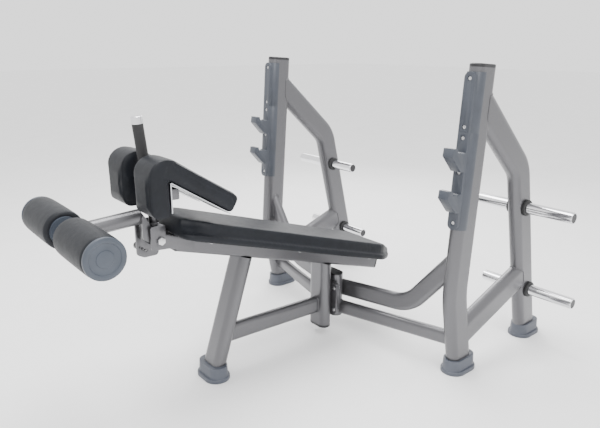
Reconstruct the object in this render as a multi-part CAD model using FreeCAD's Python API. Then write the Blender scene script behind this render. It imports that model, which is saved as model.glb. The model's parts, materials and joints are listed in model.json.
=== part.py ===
"""Decline bench with leg rollers, joined to a barbell rack with plate storage horns.

Millimetres, +Z up, +X from the leg rollers towards the rack, +Y to the left of a person facing +X.
The layout is worked out from the foot of the rack uprights, and every piece is then moved along X
so that the origin lies on the floor under the middle of the whole object.
"""
import enum
import FreeCAD
import Part
import math
import os

V = FreeCAD.Vector
ORIGIN = V(0, 0, 0)
AXIS_X = V(1, 0, 0)
AXIS_Y = V(0, 1, 0)
AXIS_Z = V(0, 0, 1)
FAR = 3000.0
SPARE = 20.0
TOUCH = 0.01
HEXAGON_SIDES = 6
SIDES = (("left", 1), ("right", -1))

# ---------------------------------------------------------------- driving dimensions
# flat-oval tube of the rack sides
RACK_TUBE_LONG = 120.0
RACK_TUBE_SHORT = 60.0
TUBE_WALL = 3.0
RACK_Y = 605.0

# rack uprights: a leaning lower leg, one bend, an upper length that leans back a little
UPRIGHT_BEND_X = -74.0
UPRIGHT_BEND_Z = 350.0
UPRIGHT_TOP_X = -20.0
UPRIGHT_TOP_Z = 1238.0
UPRIGHT_BEND_RADIUS = 420.0
TOP_CAP_HEIGHT = 13.0
TOP_CAP_PLUG_DEPTH = 22.0
CAP_EDGE = 5.0
CAP_PLUG_DEPTH = 18.0
POST_CAP_THICK = 4.0
PLUG_CLEARANCE = 0.1

# rear supports and side braces
REAR_START_X = -30.0
REAR_START_Z = 1124.0
REAR_BEND_X = 306.0
REAR_BEND_Z = 820.0
REAR_BEND_RADIUS = 150.0
REAR_FOOT_X = 513.0
BRACE_FRONT_X = -35.0
BRACE_FRONT_Z = 158.0
BRACE_REAR_Z = 327.0

# feet
FOOT_FLOOR = 8.0
FOOT_FLANGE_HEIGHT = 17.0
FOOT_HEIGHT = 62.0
FOOT_COLLAR_MARGIN = 13.0
FOOT_FLANGE_MARGIN = 10.0
FOOT_TAPER_DEG = 4.0

# plate horns
HORN_RADIUS = 24.0
HORN_HEIGHTS = (650.0, 247.0)
HORN_INNER_Y = 412.0
HORN_OUTER_Y = 845.0
HORN_CHAMFER = 3.0
HORN_NECK_RADIUS = 23.0
HORN_PLUG_RECESS = 1.0
HORN_WALL = 4.0
HORN_PLUG_DEPTH = 14.0
HORN_COLLAR_RADIUS = 35.0
HORN_COLLAR_THICK = 12.0

# cross tubes between the rack sides
UPPER_CROSS_LONG = 80.0
UPPER_CROSS_SHORT = 42.0
UPPER_CROSS_END_Z = 505.0
UPPER_CROSS_BEND_Y = 388.0
UPPER_CROSS_BEND_Z = 240.0
UPPER_CROSS_MIDDLE_Z = 204.0
UPPER_CROSS_BEND_RADIUS = 170.0
LOWER_CROSS_LONG = 66.0
LOWER_CROSS_SHORT = 42.0
LOWER_CROSS_END_Z = 140.0
LOWER_CROSS_MIDDLE_Z = 127.0

# bench column, rack post and the bolted flanges between them
POST_LONG = 110.0
POST_SHORT = 60.0
COLUMN_X = -250.0
COLUMN_BOTTOM_Z = 60.0
COLUMN_CAP_HEIGHT = 14.0
RACK_POST_BOTTOM_Z = 92.0
RACK_POST_TOP_Z = 292.0
FLANGE_THICK = 8.0
FLANGE_WIDTH = 150.0
FLANGE_BOTTOM_Z = 112.0
FLANGE_HEIGHT = 150.0
FLANGE_BOLT_Y = 63.0
FLANGE_BOLT_EDGE = 22.0
FLANGE_BOLT_RADIUS = 5.0
FLANGE_BOLT_REACH = 12.0
FLANGE_HEAD_RADIUS = 8.5
FLANGE_HEAD_HEIGHT = 6.5
FLANGE_NUT_HEIGHT = 8.0
FLANGE_CORNER = 12.0

# front leg and lower bar of the bench
LEG_FOOT_X = -846.0
LEG_TOP_X = -686.0
LEG_TOP_Z = 494.0
LOWER_BAR_LONG = 80.0
LOWER_BAR_SHORT = 42.0
LOWER_BAR_FRONT_Z = 169.0
LOWER_BAR_REAR_Z = 154.0

# bench frame, measured along (down towards the head) and square to the top of the pad
BENCH_SLOPE_DEG = 17.1
PAD_REFERENCE_X = -500.0
PAD_REFERENCE_Z = 581.0
PAD_FOOT_END = -530.0
PAD_HEAD_END = 682.0
PAD_HALF_WIDTH = 147.0
PAD_LEDGE_HALF_WIDTH = 168.0
PAD_LEDGE_DEPTH = 47.0
PAD_THICK = 72.0
LEDGE_OVERHANG = 6.0
PAD_CORNER = 45.0
PAD_TAPER_LENGTH = 190.0
PAD_HEAD_HALF_WIDTH = 62.0
PAD_LEDGE_HEAD_HALF_WIDTH = 74.0
PAD_SHOULDER = 40.0
PAD_SHOULDER_IN = 16.0
PAD_TIP_LENGTH = 24.0
PAD_TIP_IN = 18.0
BOARD_THICK = 12.0
BOARD_INSET = 18.0
BOARD_HEAD_HALF_WIDTH = 58.0
SOFT_GAP = 0.3
BEAM_WIDTH = 92.0
BEAM_HEIGHT = 60.0
BEAM_CORNER = 10.0
BEAM_FOOT_END = -478.0
BEAM_HEAD_END = 624.0
BEAM_CAP_LENGTH = 14.0
STRAP_THICK = 6.0
STRAP_LENGTH = 60.0
STRAP_WIDTH = 250.0
STRAP_STATIONS = (-380.0, 60.0, 500.0)
STRAP_BOLT_Y = 105.0
STRAP_BOLT_RADIUS = 4.0
STRAP_BOLT_HEAD = 4.0
STRAP_BOLT_SHORT = 3.0
STRAP_CORNER = 14.0

# leg arm pivot
PIVOT_X = -1058.0
PIVOT_Z = 647.0
CHEEK_THICK = 8.0
CHEEK_TAIL = 62.0
CHEEK_CORNER = 8.0
CHEEK_FRONT_SETBACK = 36.0
CHEEK_RISE = 56.0
CHEEK_LOW = 31.0
PAD_CLEARANCE = 5.0
TOP_PLATE_SINK = 2.0
PIVOT_BOLT_RADIUS = 10.0
PIVOT_HEAD_RADIUS = 15.0
PIVOT_HEAD_HEIGHT = 10.0
PIVOT_NUT_HEIGHT = 14.0
PIVOT_BOLT_SPARE = 4.0
PIVOT_CLEARANCE = 0.05
HUB_RADIUS = 22.0
BUSH_THICK = 3.0
ARM_TUBE_RADIUS = 27.5
ARM_TUBE_WALL = 3.0
ARM_PLATE_INNER_Y = 27.5
ARM_PLATE_THICK = 8.0
ARM_REAR_TOP_X = -1112.0
ARM_REAR_LOW_X = -1086.0
ARM_HEIGHT_Z = 734.0
ARM_PLATE_FRONT_X = -1114.0
ARM_PLATE_RISE = 8.0
ARM_BLOCK_FRONT_X = -1106.0
ARM_HUB_RIM = 6.0

# holes that lock the leg arm
LOCK_RADIUS = 56.0
LOCK_ANGLE_DEG = 240.0
LOCK_STEP_DEG = 10.0
LOCK_STEPS = (-2, -1, 0, 1)
LOCK_PIN_RADIUS = 4.0
LOCK_HOLE_CLEARANCE = 0.4
LOCK_PLATE_LOW = 80.0
LOCK_PLATE_REAR = 28.0
LOCK_PLATE_CORNER = 14.0
LOCK_PIN_GAP = 0.4
LOCK_HOUSING_RADIUS = 10.0
LOCK_HOUSING_LENGTH = 8.0
LOCK_FLANGE_RIM = 3.0
LOCK_FLANGE_THICK = 5.0
LOCK_PIN_CHAMFER = 0.8
LOCK_PIN_CLEARANCE = 0.05
KNOB_RADIUS = 14.0
KNOB_LENGTH = 24.0
KNOB_TRAVEL = 8.0
KNOB_GAP = 1.0
KNOB_EDGE = 5.0
KNOB_GRIP_DEPTH = 18.0

# leg rollers
ROLLER_X = -1351.0
ROLLER_Z = 719.0
ROLLER_RADIUS = 68.0
ROLLER_INNER_Y = 32.0
ROLLER_OUTER_Y = 303.0
AXLE_RADIUS = 12.5
AXLE_CLEARANCE = 0.05
SLEEVE_WALL = 6.0
FOAM_CLEARANCE = 0.3
OUTER_CAP_THICK = 12.0
OUTER_CAP_RADIUS = 66.0
OUTER_CAP_EDGE = 4.0
OUTER_CAP_POCKET = 3.0
FOAM_EDGE = 7.0
SLEEVE_END_GAP = 2.5
INNER_CAP_RADIUS = 50.0
INNER_CAP_THICK = 8.0
AXLE_WASHER_RADIUS = 17.0
AXLE_WASHER_THICK = 3.0
AXLE_WALL = 3.0
AXLE_STEM_LENGTH = 20.0

# thigh pads, their boards and mounts, and the handle between them
THIGH_BOARD_X = -1063.0
THIGH_BOTTOM_Z = 772.0
THIGH_KNEE_Z = 874.0
THIGH_SLOPE_DEG = 32.5
THIGH_END_X = -832.0
THIGH_THICK = 81.0
THIGH_SLOPE_THICK = 74.0
THIGH_BOARD_THICK = 4.0
THIGH_PAD_DROP = 16.0
THIGH_BOARD_INSET = 2.0
THIGH_BOARD_SIDE_INSET = 3.0
THIGH_BOARD_TAIL_INSET = 10.0
THIGH_INNER_Y = 44.0
THIGH_OUTER_Y = 172.0
THIGH_KNEE_RADIUS = 66.0
THIGH_FRONT_RADIUS = 50.0
THIGH_TAIL_RADIUS = 18.0
THIGH_HEEL_RADIUS = 12.0
CROSSBAR_DEPTH = 30.0
CROSSBAR_HEIGHT = 36.0
CROSSBAR_CORNER = 5.0
CROSSBAR_HALF_LENGTH = 150.0
MOUNT_PLATE_THICK = 6.0
MOUNT_PLATE_HEIGHT = 78.0
MOUNT_PLATE_WIDTH = 92.0
MOUNT_BOLT_SPACING = 64.0
MOUNT_BOLT_EDGE = 14.0
THIGH_BOLT_RADIUS = 4.0
THIGH_BOLT_HEAD_RADIUS = 7.2
THIGH_BOLT_HEAD_HEIGHT = 5.0
TOP_PLATE_THICK = 10.0
TOP_PLATE_FRONT_X = -1074.0
TOP_PLATE_REAR_X = -1042.0
TOP_PLATE_SHOULDER_X = -1060.0
TOP_PLATE_TONGUE_MARGIN = 5.0
POST_BASE_X = -1054.0
POST_TOP_X = -1090.0
POST_RADIUS = 17.0
GRIP_RADIUS = 19.5
GRIP_BOTTOM_Z = 925.0
GRIP_TOP_Z = 1056.0
HANDLE_CAP_THICK = 26.0
HANDLE_CAP_EDGE = 4.0

# bar hooks: a plastic-faced cover over the front half of each upright, in two lengths
COVER_WALL = 6.0
COVER_BACK = 6.0
COVER_BOTTOM = 285.0
COVER_JOINT = 654.0
COVER_TOP = 872.0
STRIP_WIDTH = 45.0
STRIP_PROUD = 6.0
STRIP_ROOT = 4.0
HOOK_TIPS = (443.0, 599.0)
HOOK_REACH = 75.0
HOOK_TIP_THICK = 20.0
HOOK_FLOOR_DROP = 16.0
HOOK_SEAT_RADIUS = 15.0
HOOK_DEPTH = 88.0
HOOK_TIP_DEPTH = 30.0
HOOK_NOSE_LEAN = 3.0
HOOK_HEEL_SETBACK = 18.0
HOOK_TIP_SLOPE = 6.0
HOOK_BACK_DROP = 4.0
HOOK_SEAT_SINK = 5.0
HOOK_SEAT_SETBACK = 4.0
COVER_BOLT_RADIUS = 4.0
COVER_BOLT_HEAD_RADIUS = 7.0
COVER_BOLT_HEAD_HEIGHT = 5.0
COVER_RECESS_RADIUS = 8.5
COVER_RECESS_DEPTH = 7.0
COVER_BOLT_STATIONS = (312.0, 506.0, 634.0, 674.0, 848.0)
COVER_BOLT_REACH = 12.0
COVER_SOCKET_DEPTH = 3.0
TUBE_HOLE_DEPTH = 20.0

OBJECT_FRONT_X = ROLLER_X - ROLLER_RADIUS
OBJECT_REAR_X = REAR_FOOT_X + RACK_TUBE_LONG / 2 + FOOT_COLLAR_MARGIN + FOOT_FLANGE_MARGIN
X_SHIFT = -(OBJECT_FRONT_X + OBJECT_REAR_X) / 2


PIECES = {}


class Bend(enum.IntEnum):
    """Corners of a thigh pad outline that are rounded, by their place in the outline."""

    HEEL = 0
    TAIL = 3
    KNEE = 4
    FRONT = 5


# ---------------------------------------------------------------- helpers
def save(name, *solids):
    """Adds solids to a sub-part; like pieces of one sub-part share its name."""
    PIECES.setdefault(name, []).extend(solids)


def write_pieces():
    """Moves every sub-part from the layout frame to the part's frame and writes its STEP file."""
    os.makedirs("parts", exist_ok=True)
    for name, solids in PIECES.items():
        shape = solids[0].copy() if len(solids) == 1 else Part.makeCompound(solids)
        shape.translate(V(X_SHIFT, 0, 0))
        shape.exportStep(f"parts/{name}.step")


def oval_wire(long_side, short_side, centre, long_dir, normal):
    """Outline of a flat oval: two straight sides and two half-round ends."""
    along = V(long_dir).normalize()
    across = normal.cross(along).normalize()
    radius = short_side / 2
    half = long_side / 2 - radius

    def at(a, b):
        return centre + along * a + across * b

    return Part.Wire([
        Part.LineSegment(at(-half, -radius), at(half, -radius)).toShape(),
        Part.Arc(at(half, -radius), at(half + radius, 0), at(half, radius)).toShape(),
        Part.LineSegment(at(half, radius), at(-half, radius)).toShape(),
        Part.Arc(at(-half, radius), at(-half - radius, 0), at(-half, -radius)).toShape(),
    ])


def bent_path(points, radius):
    """Straight runs joined by tangent arcs of one radius."""
    edges = []
    start = points[0]
    for before, corner, after in zip(points, points[1:], points[2:]):
        back = (before - corner).normalize()
        ahead = (after - corner).normalize()
        half_angle = back.getAngle(ahead) / 2
        setback = radius / math.tan(half_angle)
        arc_in = corner + back * setback
        arc_out = corner + ahead * setback
        bisector = (back + ahead).normalize()
        middle = corner + bisector * (radius / math.sin(half_angle) - radius)
        edges.append(Part.LineSegment(start, arc_in).toShape())
        edges.append(Part.Arc(arc_in, middle, arc_out).toShape())
        start = arc_out
    edges.append(Part.LineSegment(start, points[-1]).toShape())
    return Part.Wire(edges)


def oval_sweep(long_side, short_side, points, radius, long_dir):
    """Solid flat-oval bar along a bent path; long_dir lies near the long side at its start."""
    path = bent_path(points, radius)
    direction = (points[1] - points[0]).normalize()
    square = (long_dir - direction * long_dir.dot(direction)).normalize()
    profile = oval_wire(long_side, short_side, points[0], square, direction)
    return path.makePipeShell([profile], True, False)


def oval_bar(long_side, short_side, start, end, long_dir):
    """Solid straight flat-oval bar."""
    direction = end - start
    unit = V(direction).normalize()
    square = (long_dir - unit * long_dir.dot(unit)).normalize()
    return Part.Face(oval_wire(long_side, short_side, start, square, unit)).extrude(direction)


def tube_pair(maker, long_side, short_side, *path):
    """The outer solid of a tube and the solid that fills its bore."""
    outer = maker(long_side, short_side, *path)
    bore = maker(long_side - 2 * TUBE_WALL, short_side - 2 * TUBE_WALL, *path)
    return outer, bore


def cylinder(radius, start, end):
    """Round bar from one point to another."""
    return Part.makeCylinder(radius, (end - start).Length, start, end - start)


def ring(outer, inner, start, end):
    """Round tube from one point to another."""
    return cylinder(outer, start, end).cut(cylinder(inner, start, end))


def block(x0, x1, y0, y1, z0, z1):
    """Box between two corners."""
    return Part.makeBox(x1 - x0, y1 - y0, z1 - z0, V(x0, y0, z0))


def below(z):
    """Everything under a level."""
    return block(-FAR, FAR, -FAR, FAR, z - FAR, z)


def rounded_outline(points, y, corner):
    """Closed X-Z outline in the plane at y, each corner rounded by an arc that fits its sides."""
    corners = [V(x, y, z) for x, z in points]
    count = len(corners)
    edges = []
    arcs = []
    for index, here in enumerate(corners):
        back = corners[index - 1] - here
        ahead = corners[(index + 1) % count] - here
        half_angle = back.getAngle(ahead) / 2
        setback = min(corner / math.tan(half_angle), 0.45 * back.Length, 0.45 * ahead.Length)
        radius = setback * math.tan(half_angle)
        start = here + back.normalize() * setback
        end = here + ahead.normalize() * setback
        bisector = (back.normalize() + ahead.normalize()).normalize()
        middle = here + bisector * (radius / math.sin(half_angle) - radius)
        arcs.append((start, middle, end))
    for index, (start, middle, end) in enumerate(arcs):
        edges.append(Part.Arc(start, middle, end).toShape())
        edges.append(Part.LineSegment(end, arcs[(index + 1) % count][0]).toShape())
    return Part.Wire(edges)


def polygon_plate(points, y0, y1, corner=0.0):
    """Plate from an X-Z outline, with its corners rounded, between two Y planes."""
    if corner > 0:
        outline = rounded_outline(points, y0, corner)
    else:
        loop = [V(x, y0, z) for x, z in points]
        outline = Part.makePolygon(loop + [loop[0]])
    return Part.Face(outline).extrude(V(0, y1 - y0, 0))


def box_rounded(shape, radius, keep):
    """Rounds the straight edges of a shape that keep(direction) chooses."""
    edges = []
    for edge in shape.Edges:
        if edge.Curve.TypeId == "Part::GeomLine" and keep(edge.tangentAt(edge.FirstParameter)):
            edges.append(edge)
    return shape.makeFillet(radius, edges)


def turned(shape, centre, degrees):
    """Copy turned about a line through centre, parallel to Y."""
    copy = shape.copy()
    copy.rotate(centre, AXIS_Y, degrees)
    return copy


def in_bench(shape):
    """Moves a piece from the bench's own frame (along, across, up from the pad top) into place."""
    placed = turned(shape, ORIGIN, BENCH_SLOPE_DEG)
    placed.translate(V(PAD_REFERENCE_X, 0, PAD_REFERENCE_Z))
    return placed


def bench_point(along, across, up):
    """Layout position of a point given in the bench's own frame."""
    slope = math.radians(BENCH_SLOPE_DEG)
    x = PAD_REFERENCE_X + along * math.cos(slope) + up * math.sin(slope)
    z = PAD_REFERENCE_Z - along * math.sin(slope) + up * math.cos(slope)
    return V(x, across, z)


def on_line(start, end, z):
    """X of the point at height z on the line through two (x, z) points."""
    return start[0] + (end[0] - start[0]) * (z - start[1]) / (end[1] - start[1])


# ---------------------------------------------------------------- shared places
UPRIGHT_FOOT = (0.0, 0.0)
UPRIGHT_BEND = (UPRIGHT_BEND_X, UPRIGHT_BEND_Z)
UPRIGHT_TOP = (UPRIGHT_TOP_X, UPRIGHT_TOP_Z)
UPRIGHT_LEAN = math.atan2(UPRIGHT_TOP_X - UPRIGHT_BEND_X, UPRIGHT_TOP_Z - UPRIGHT_BEND_Z)
UPRIGHT_AXIS = V(math.sin(UPRIGHT_LEAN), 0, math.cos(UPRIGHT_LEAN))
REAR_BEND = (REAR_BEND_X, REAR_BEND_Z)
REAR_FOOT = (REAR_FOOT_X, 0.0)
BEAM_TOP = -PAD_THICK - STRAP_THICK
BEAM_BOTTOM = BEAM_TOP - BEAM_HEIGHT
RACK_POST_X = COLUMN_X + POST_SHORT + 2 * FLANGE_THICK
UPPER_CROSS_X = RACK_POST_X + POST_SHORT / 2 + UPPER_CROSS_SHORT / 2
CHEEK_INNER_Y = BEAM_WIDTH / 2
CHEEK_OUTER_Y = CHEEK_INNER_Y + CHEEK_THICK
CHEEK_TOP_Z = PIVOT_Z + CHEEK_RISE
TOP_PLATE_Z = CHEEK_TOP_Z - TOP_PLATE_SINK
HUB_HALF = ARM_PLATE_INNER_Y + ARM_PLATE_THICK
LOCK_HOLE_RADIUS = LOCK_PIN_RADIUS + LOCK_HOLE_CLEARANCE


def lock_point(degrees, y, radius=LOCK_RADIUS):
    """Point on a circle about the pivot, at an angle from +X towards +Z."""
    angle = math.radians(degrees)
    return V(PIVOT_X + radius * math.cos(angle), y, PIVOT_Z + radius * math.sin(angle))


def pivot_rod(radius, y0, y1):
    """Round bar on the pivot axis."""
    return cylinder(radius, V(PIVOT_X, y0, PIVOT_Z), V(PIVOT_X, y1, PIVOT_Z))


def upright_solids(y):
    """Outer solid and bore of one upright."""
    points = [V(UPRIGHT_FOOT[0], y, UPRIGHT_FOOT[1] - 1), V(UPRIGHT_BEND_X, y, UPRIGHT_BEND_Z),
              V(UPRIGHT_TOP_X, y, UPRIGHT_TOP_Z)]
    return tube_pair(oval_sweep, RACK_TUBE_LONG, RACK_TUBE_SHORT, points,
                     UPRIGHT_BEND_RADIUS, AXIS_X)


def rear_solids(y):
    """Outer solid and bore of one rear support."""
    low_x = on_line(REAR_BEND, REAR_FOOT, -SPARE)
    points = [V(REAR_START_X, y, REAR_START_Z), V(REAR_BEND_X, y, REAR_BEND_Z), V(low_x, y, -SPARE)]
    return tube_pair(oval_sweep, RACK_TUBE_LONG, RACK_TUBE_SHORT, points,
                     REAR_BEND_RADIUS, AXIS_Z)


def brace_solids(y):
    """Outer solid and bore of one side brace."""
    rear_x = on_line(REAR_BEND, REAR_FOOT, BRACE_REAR_Z)
    start, end = V(BRACE_FRONT_X, y, BRACE_FRONT_Z), V(rear_x, y, BRACE_REAR_Z)
    return tube_pair(oval_bar, RACK_TUBE_LONG, RACK_TUBE_SHORT, start, end, AXIS_Z)


def foot(centre_x, y, tube_outer, tube_long, tube_short, long_dir):
    """Boot on the end of a tube: a wide flange and a collar that narrows upwards."""
    collar_long = tube_long + 2 * FOOT_COLLAR_MARGIN + 14
    collar_short = tube_short + 2 * FOOT_COLLAR_MARGIN
    collar_height = FOOT_HEIGHT - FOOT_FLANGE_HEIGHT
    shrink = 2 * collar_height * math.tan(math.radians(FOOT_TAPER_DEG))
    centre = V(centre_x, y, 0)
    flange = Part.Face(oval_wire(tube_long + 2 * (FOOT_COLLAR_MARGIN + FOOT_FLANGE_MARGIN),
                                 collar_short + 2 * FOOT_FLANGE_MARGIN, centre, long_dir, AXIS_Z))
    flange = flange.extrude(V(0, 0, FOOT_FLANGE_HEIGHT))
    flange = flange.makeFillet(5, [e for e in flange.Edges
                                   if e.BoundBox.ZMin > FOOT_FLANGE_HEIGHT - 0.01])
    wires = [oval_wire(collar_long - cut, collar_short - cut, centre + AXIS_Z * z, long_dir, AXIS_Z)
             for z, cut in ((FOOT_FLANGE_HEIGHT - 8, 0), (FOOT_HEIGHT, shrink))]
    collar = Part.makeLoft(wires, True, True)
    pocket = tube_outer.cut(below(FOOT_FLOOR))
    return flange.fuse(collar).removeSplitter().cut(pocket)


def lean_up(shape, y):
    """Moves a piece from the upright's own frame (bend at the origin, upper length on Z)."""
    placed = turned(shape, ORIGIN, math.degrees(UPRIGHT_LEAN))
    placed.translate(V(UPRIGHT_BEND_X, y, UPRIGHT_BEND_Z))
    return placed


# ---------------------------------------------------------------- rack
def build_rack_side(side, sign):
    """Upright, rear support, brace, feet and cap of one side of the rack."""
    y = sign * RACK_Y
    upright, upright_bore = upright_solids(y)
    rear, rear_bore = rear_solids(y)
    brace, brace_bore = brace_solids(y)
    cut_floor = below(FOOT_FLOOR)

    upright_tube = upright.cut(upright_bore).cut(cut_floor)
    for station in COVER_BOLT_STATIONS:
        hole = cylinder(COVER_BOLT_RADIUS + PLUG_CLEARANCE, V(-RACK_TUBE_LONG, 0, station),
                        V(TUBE_HOLE_DEPTH - RACK_TUBE_LONG / 2, 0, station))
        upright_tube = upright_tube.cut(lean_up(hole, y))
    rear_tube = rear.cut(rear_bore).cut(cut_floor).cut(upright)
    for height in HORN_HEIGHTS:
        x = on_line(REAR_BEND, REAR_FOOT, height)
        bore = cylinder(HORN_NECK_RADIUS, V(x, y - RACK_TUBE_SHORT, height),
                        V(x, y + RACK_TUBE_SHORT, height))
        rear_tube = rear_tube.cut(bore)
    save(f"upright_{side}", upright_tube)
    save(f"rear_support_{side}", rear_tube)
    save("side_braces", brace.cut(brace_bore).cut(upright).cut(rear))

    half_height = FOOT_HEIGHT / 2
    front_x = on_line(UPRIGHT_FOOT, UPRIGHT_BEND, half_height)
    save("front_feet", foot(front_x, y, upright, RACK_TUBE_LONG, RACK_TUBE_SHORT, AXIS_X))
    save("rear_feet", foot(REAR_FOOT_X, y, rear, RACK_TUBE_LONG, RACK_TUBE_SHORT, AXIS_X))

    top = V(UPRIGHT_TOP_X, y, UPRIGHT_TOP_Z)
    fore = V(UPRIGHT_AXIS.z, 0, -UPRIGHT_AXIS.x)
    lid = oval_bar(RACK_TUBE_LONG, RACK_TUBE_SHORT, top, top + UPRIGHT_AXIS * TOP_CAP_HEIGHT, fore)
    upper_rim = [e for e in lid.Edges
                 if (e.CenterOfMass - top).dot(UPRIGHT_AXIS) > TOP_CAP_HEIGHT - 0.01]
    lid = lid.makeFillet(CAP_EDGE, upper_rim)
    plug_cut = 2 * (TUBE_WALL + PLUG_CLEARANCE)
    plug = oval_bar(RACK_TUBE_LONG - plug_cut, RACK_TUBE_SHORT - plug_cut,
                    top - UPRIGHT_AXIS * TOP_CAP_PLUG_DEPTH, top, fore)
    save("upright_caps", lid.fuse(plug))
    return upright


def build_hook_covers(sign):
    """Wear covers with two bar hooks on the front of one upright, and their bolts."""
    y = sign * RACK_Y
    tube = Part.Face(oval_wire(RACK_TUBE_LONG, RACK_TUBE_SHORT, ORIGIN, AXIS_X, AXIS_Z))
    shell = Part.Face(oval_wire(RACK_TUBE_LONG + 2 * COVER_WALL, RACK_TUBE_SHORT + 2 * COVER_WALL,
                                ORIGIN, AXIS_X, AXIS_Z))
    length = COVER_TOP - COVER_BOTTOM
    front = -RACK_TUBE_LONG / 2
    back = front + RACK_TUBE_SHORT / 2 + COVER_BACK
    face_x = front - COVER_WALL - STRIP_PROUD
    body = shell.extrude(V(0, 0, length)).cut(block(back, FAR, -FAR, FAR, -1, length + 1))
    strip = block(face_x, front + STRIP_ROOT, -STRIP_WIDTH / 2, STRIP_WIDTH / 2, 0, length)
    strip_ends = [e for e in strip.Edges if abs(e.tangentAt(e.FirstParameter).x) > 0.99]
    strip = strip.makeFillet(STRIP_WIDTH / 2 - 1, strip_ends)
    cover = body.fuse(strip)
    cover.translate(V(0, 0, COVER_BOTTOM))
    for tip in HOOK_TIPS:
        cover = cover.fuse(hook_solid(face_x, tip))
    inside = tube.extrude(V(0, 0, length + 2))
    inside.translate(V(0, 0, COVER_BOTTOM - 1))
    cover = cover.cut(inside)
    bolts = []
    for station in COVER_BOLT_STATIONS:
        recess = cylinder(COVER_RECESS_RADIUS, V(face_x - 1, 0, station),
                          V(face_x + COVER_RECESS_DEPTH, 0, station))
        hole = cylinder(COVER_BOLT_RADIUS + PLUG_CLEARANCE, V(face_x, 0, station),
                        V(front + TUBE_HOLE_DEPTH, 0, station))
        cover = cover.cut(recess).cut(hole)
        seat = face_x + COVER_RECESS_DEPTH
        head = cylinder(COVER_BOLT_HEAD_RADIUS, V(seat - COVER_BOLT_HEAD_HEIGHT, 0, station),
                        V(seat, 0, station))
        outer = seat - COVER_BOLT_HEAD_HEIGHT
        socket = cylinder(COVER_BOLT_RADIUS - 1, V(outer, 0, station),
                          V(outer + COVER_SOCKET_DEPTH, 0, station))
        shank = cylinder(COVER_BOLT_RADIUS, V(seat - 1, 0, station),
                         V(front + COVER_BOLT_REACH, 0, station))
        bolts.append(lean_up(head.fuse(shank).cut(socket), y))
    joint = block(-FAR, FAR, -FAR, FAR, COVER_JOINT - FAR, COVER_JOINT)
    save("hook_covers", lean_up(cover.common(joint), y))
    save("upper_covers", lean_up(cover.cut(joint), y))
    save("cover_bolts", *bolts)


def hook_solid(face_x, tip):
    """One bar hook: a wedge below, a round seat, and a blunt tip in front."""
    nose = face_x - HOOK_REACH
    floor = tip - HOOK_FLOOR_DROP
    root = face_x + STRIP_PROUD
    tip_back = nose + HOOK_TIP_THICK
    outline = [(root, tip - HOOK_BACK_DROP), (face_x, tip - HOOK_BACK_DROP), (face_x, floor),
               (tip_back + HOOK_TIP_SLOPE, floor), (tip_back, tip), (nose, tip),
               (nose - HOOK_NOSE_LEAN, tip - HOOK_TIP_DEPTH),
               (face_x - HOOK_HEEL_SETBACK, tip - HOOK_DEPTH), (root, tip - HOOK_DEPTH)]
    hook = polygon_plate(outline, -STRIP_WIDTH / 2, STRIP_WIDTH / 2)
    seat_z = floor + HOOK_SEAT_RADIUS - HOOK_SEAT_SINK
    seat_x = face_x - HOOK_SEAT_RADIUS - HOOK_SEAT_SETBACK
    seat = cylinder(HOOK_SEAT_RADIUS, V(seat_x, -STRIP_WIDTH, seat_z), V(seat_x, STRIP_WIDTH, seat_z))
    return hook.cut(seat)


def build_horns(side, sign):
    """Plate horns through the rear support, with rubber collars and end plugs."""
    inner_collar = RACK_Y - RACK_TUBE_SHORT / 2 - HORN_COLLAR_THICK
    outer_collar = RACK_Y + RACK_TUBE_SHORT / 2 + HORN_COLLAR_THICK
    for height in HORN_HEIGHTS:
        x = on_line(REAR_BEND, REAR_FOOT, height)
        inner, outer = V(x, sign * HORN_INNER_Y, height), V(x, sign * HORN_OUTER_Y, height)
        bar = cylinder(HORN_NECK_RADIUS, inner, outer)
        for tip_y, collar_y in ((HORN_INNER_Y, inner_collar), (HORN_OUTER_Y, outer_collar)):
            tip = V(x, sign * tip_y, height)
            length = cylinder(HORN_RADIUS, V(x, sign * collar_y, height), tip)
            rim = [e for e in length.Edges if e.Curve.TypeId == "Part::GeomCircle"
                   and abs(e.CenterOfMass.y - tip.y) < TOUCH]
            bar = bar.fuse(length.makeChamfer(HORN_CHAMFER, rim))
        core = cylinder(HORN_RADIUS - HORN_WALL, inner, outer)
        save(f"plate_horns_{side}", bar.cut(core))
        collars, plugs = [], []
        for way in (1, -1):
            face_y = sign * RACK_Y + way * RACK_TUBE_SHORT / 2
            collars.append(ring(HORN_COLLAR_RADIUS, HORN_NECK_RADIUS, V(x, face_y, height),
                                V(x, face_y + way * HORN_COLLAR_THICK, height)))
        for end_y, way in ((sign * HORN_OUTER_Y, -sign), (sign * HORN_INNER_Y, sign)):
            plugs.append(cylinder(HORN_RADIUS - HORN_WALL, V(x, end_y + way * HORN_PLUG_RECESS, height),
                                  V(x, end_y + way * HORN_PLUG_DEPTH, height)))
        save("horn_collars", *collars)
        save("horn_end_plugs", *plugs)


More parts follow.
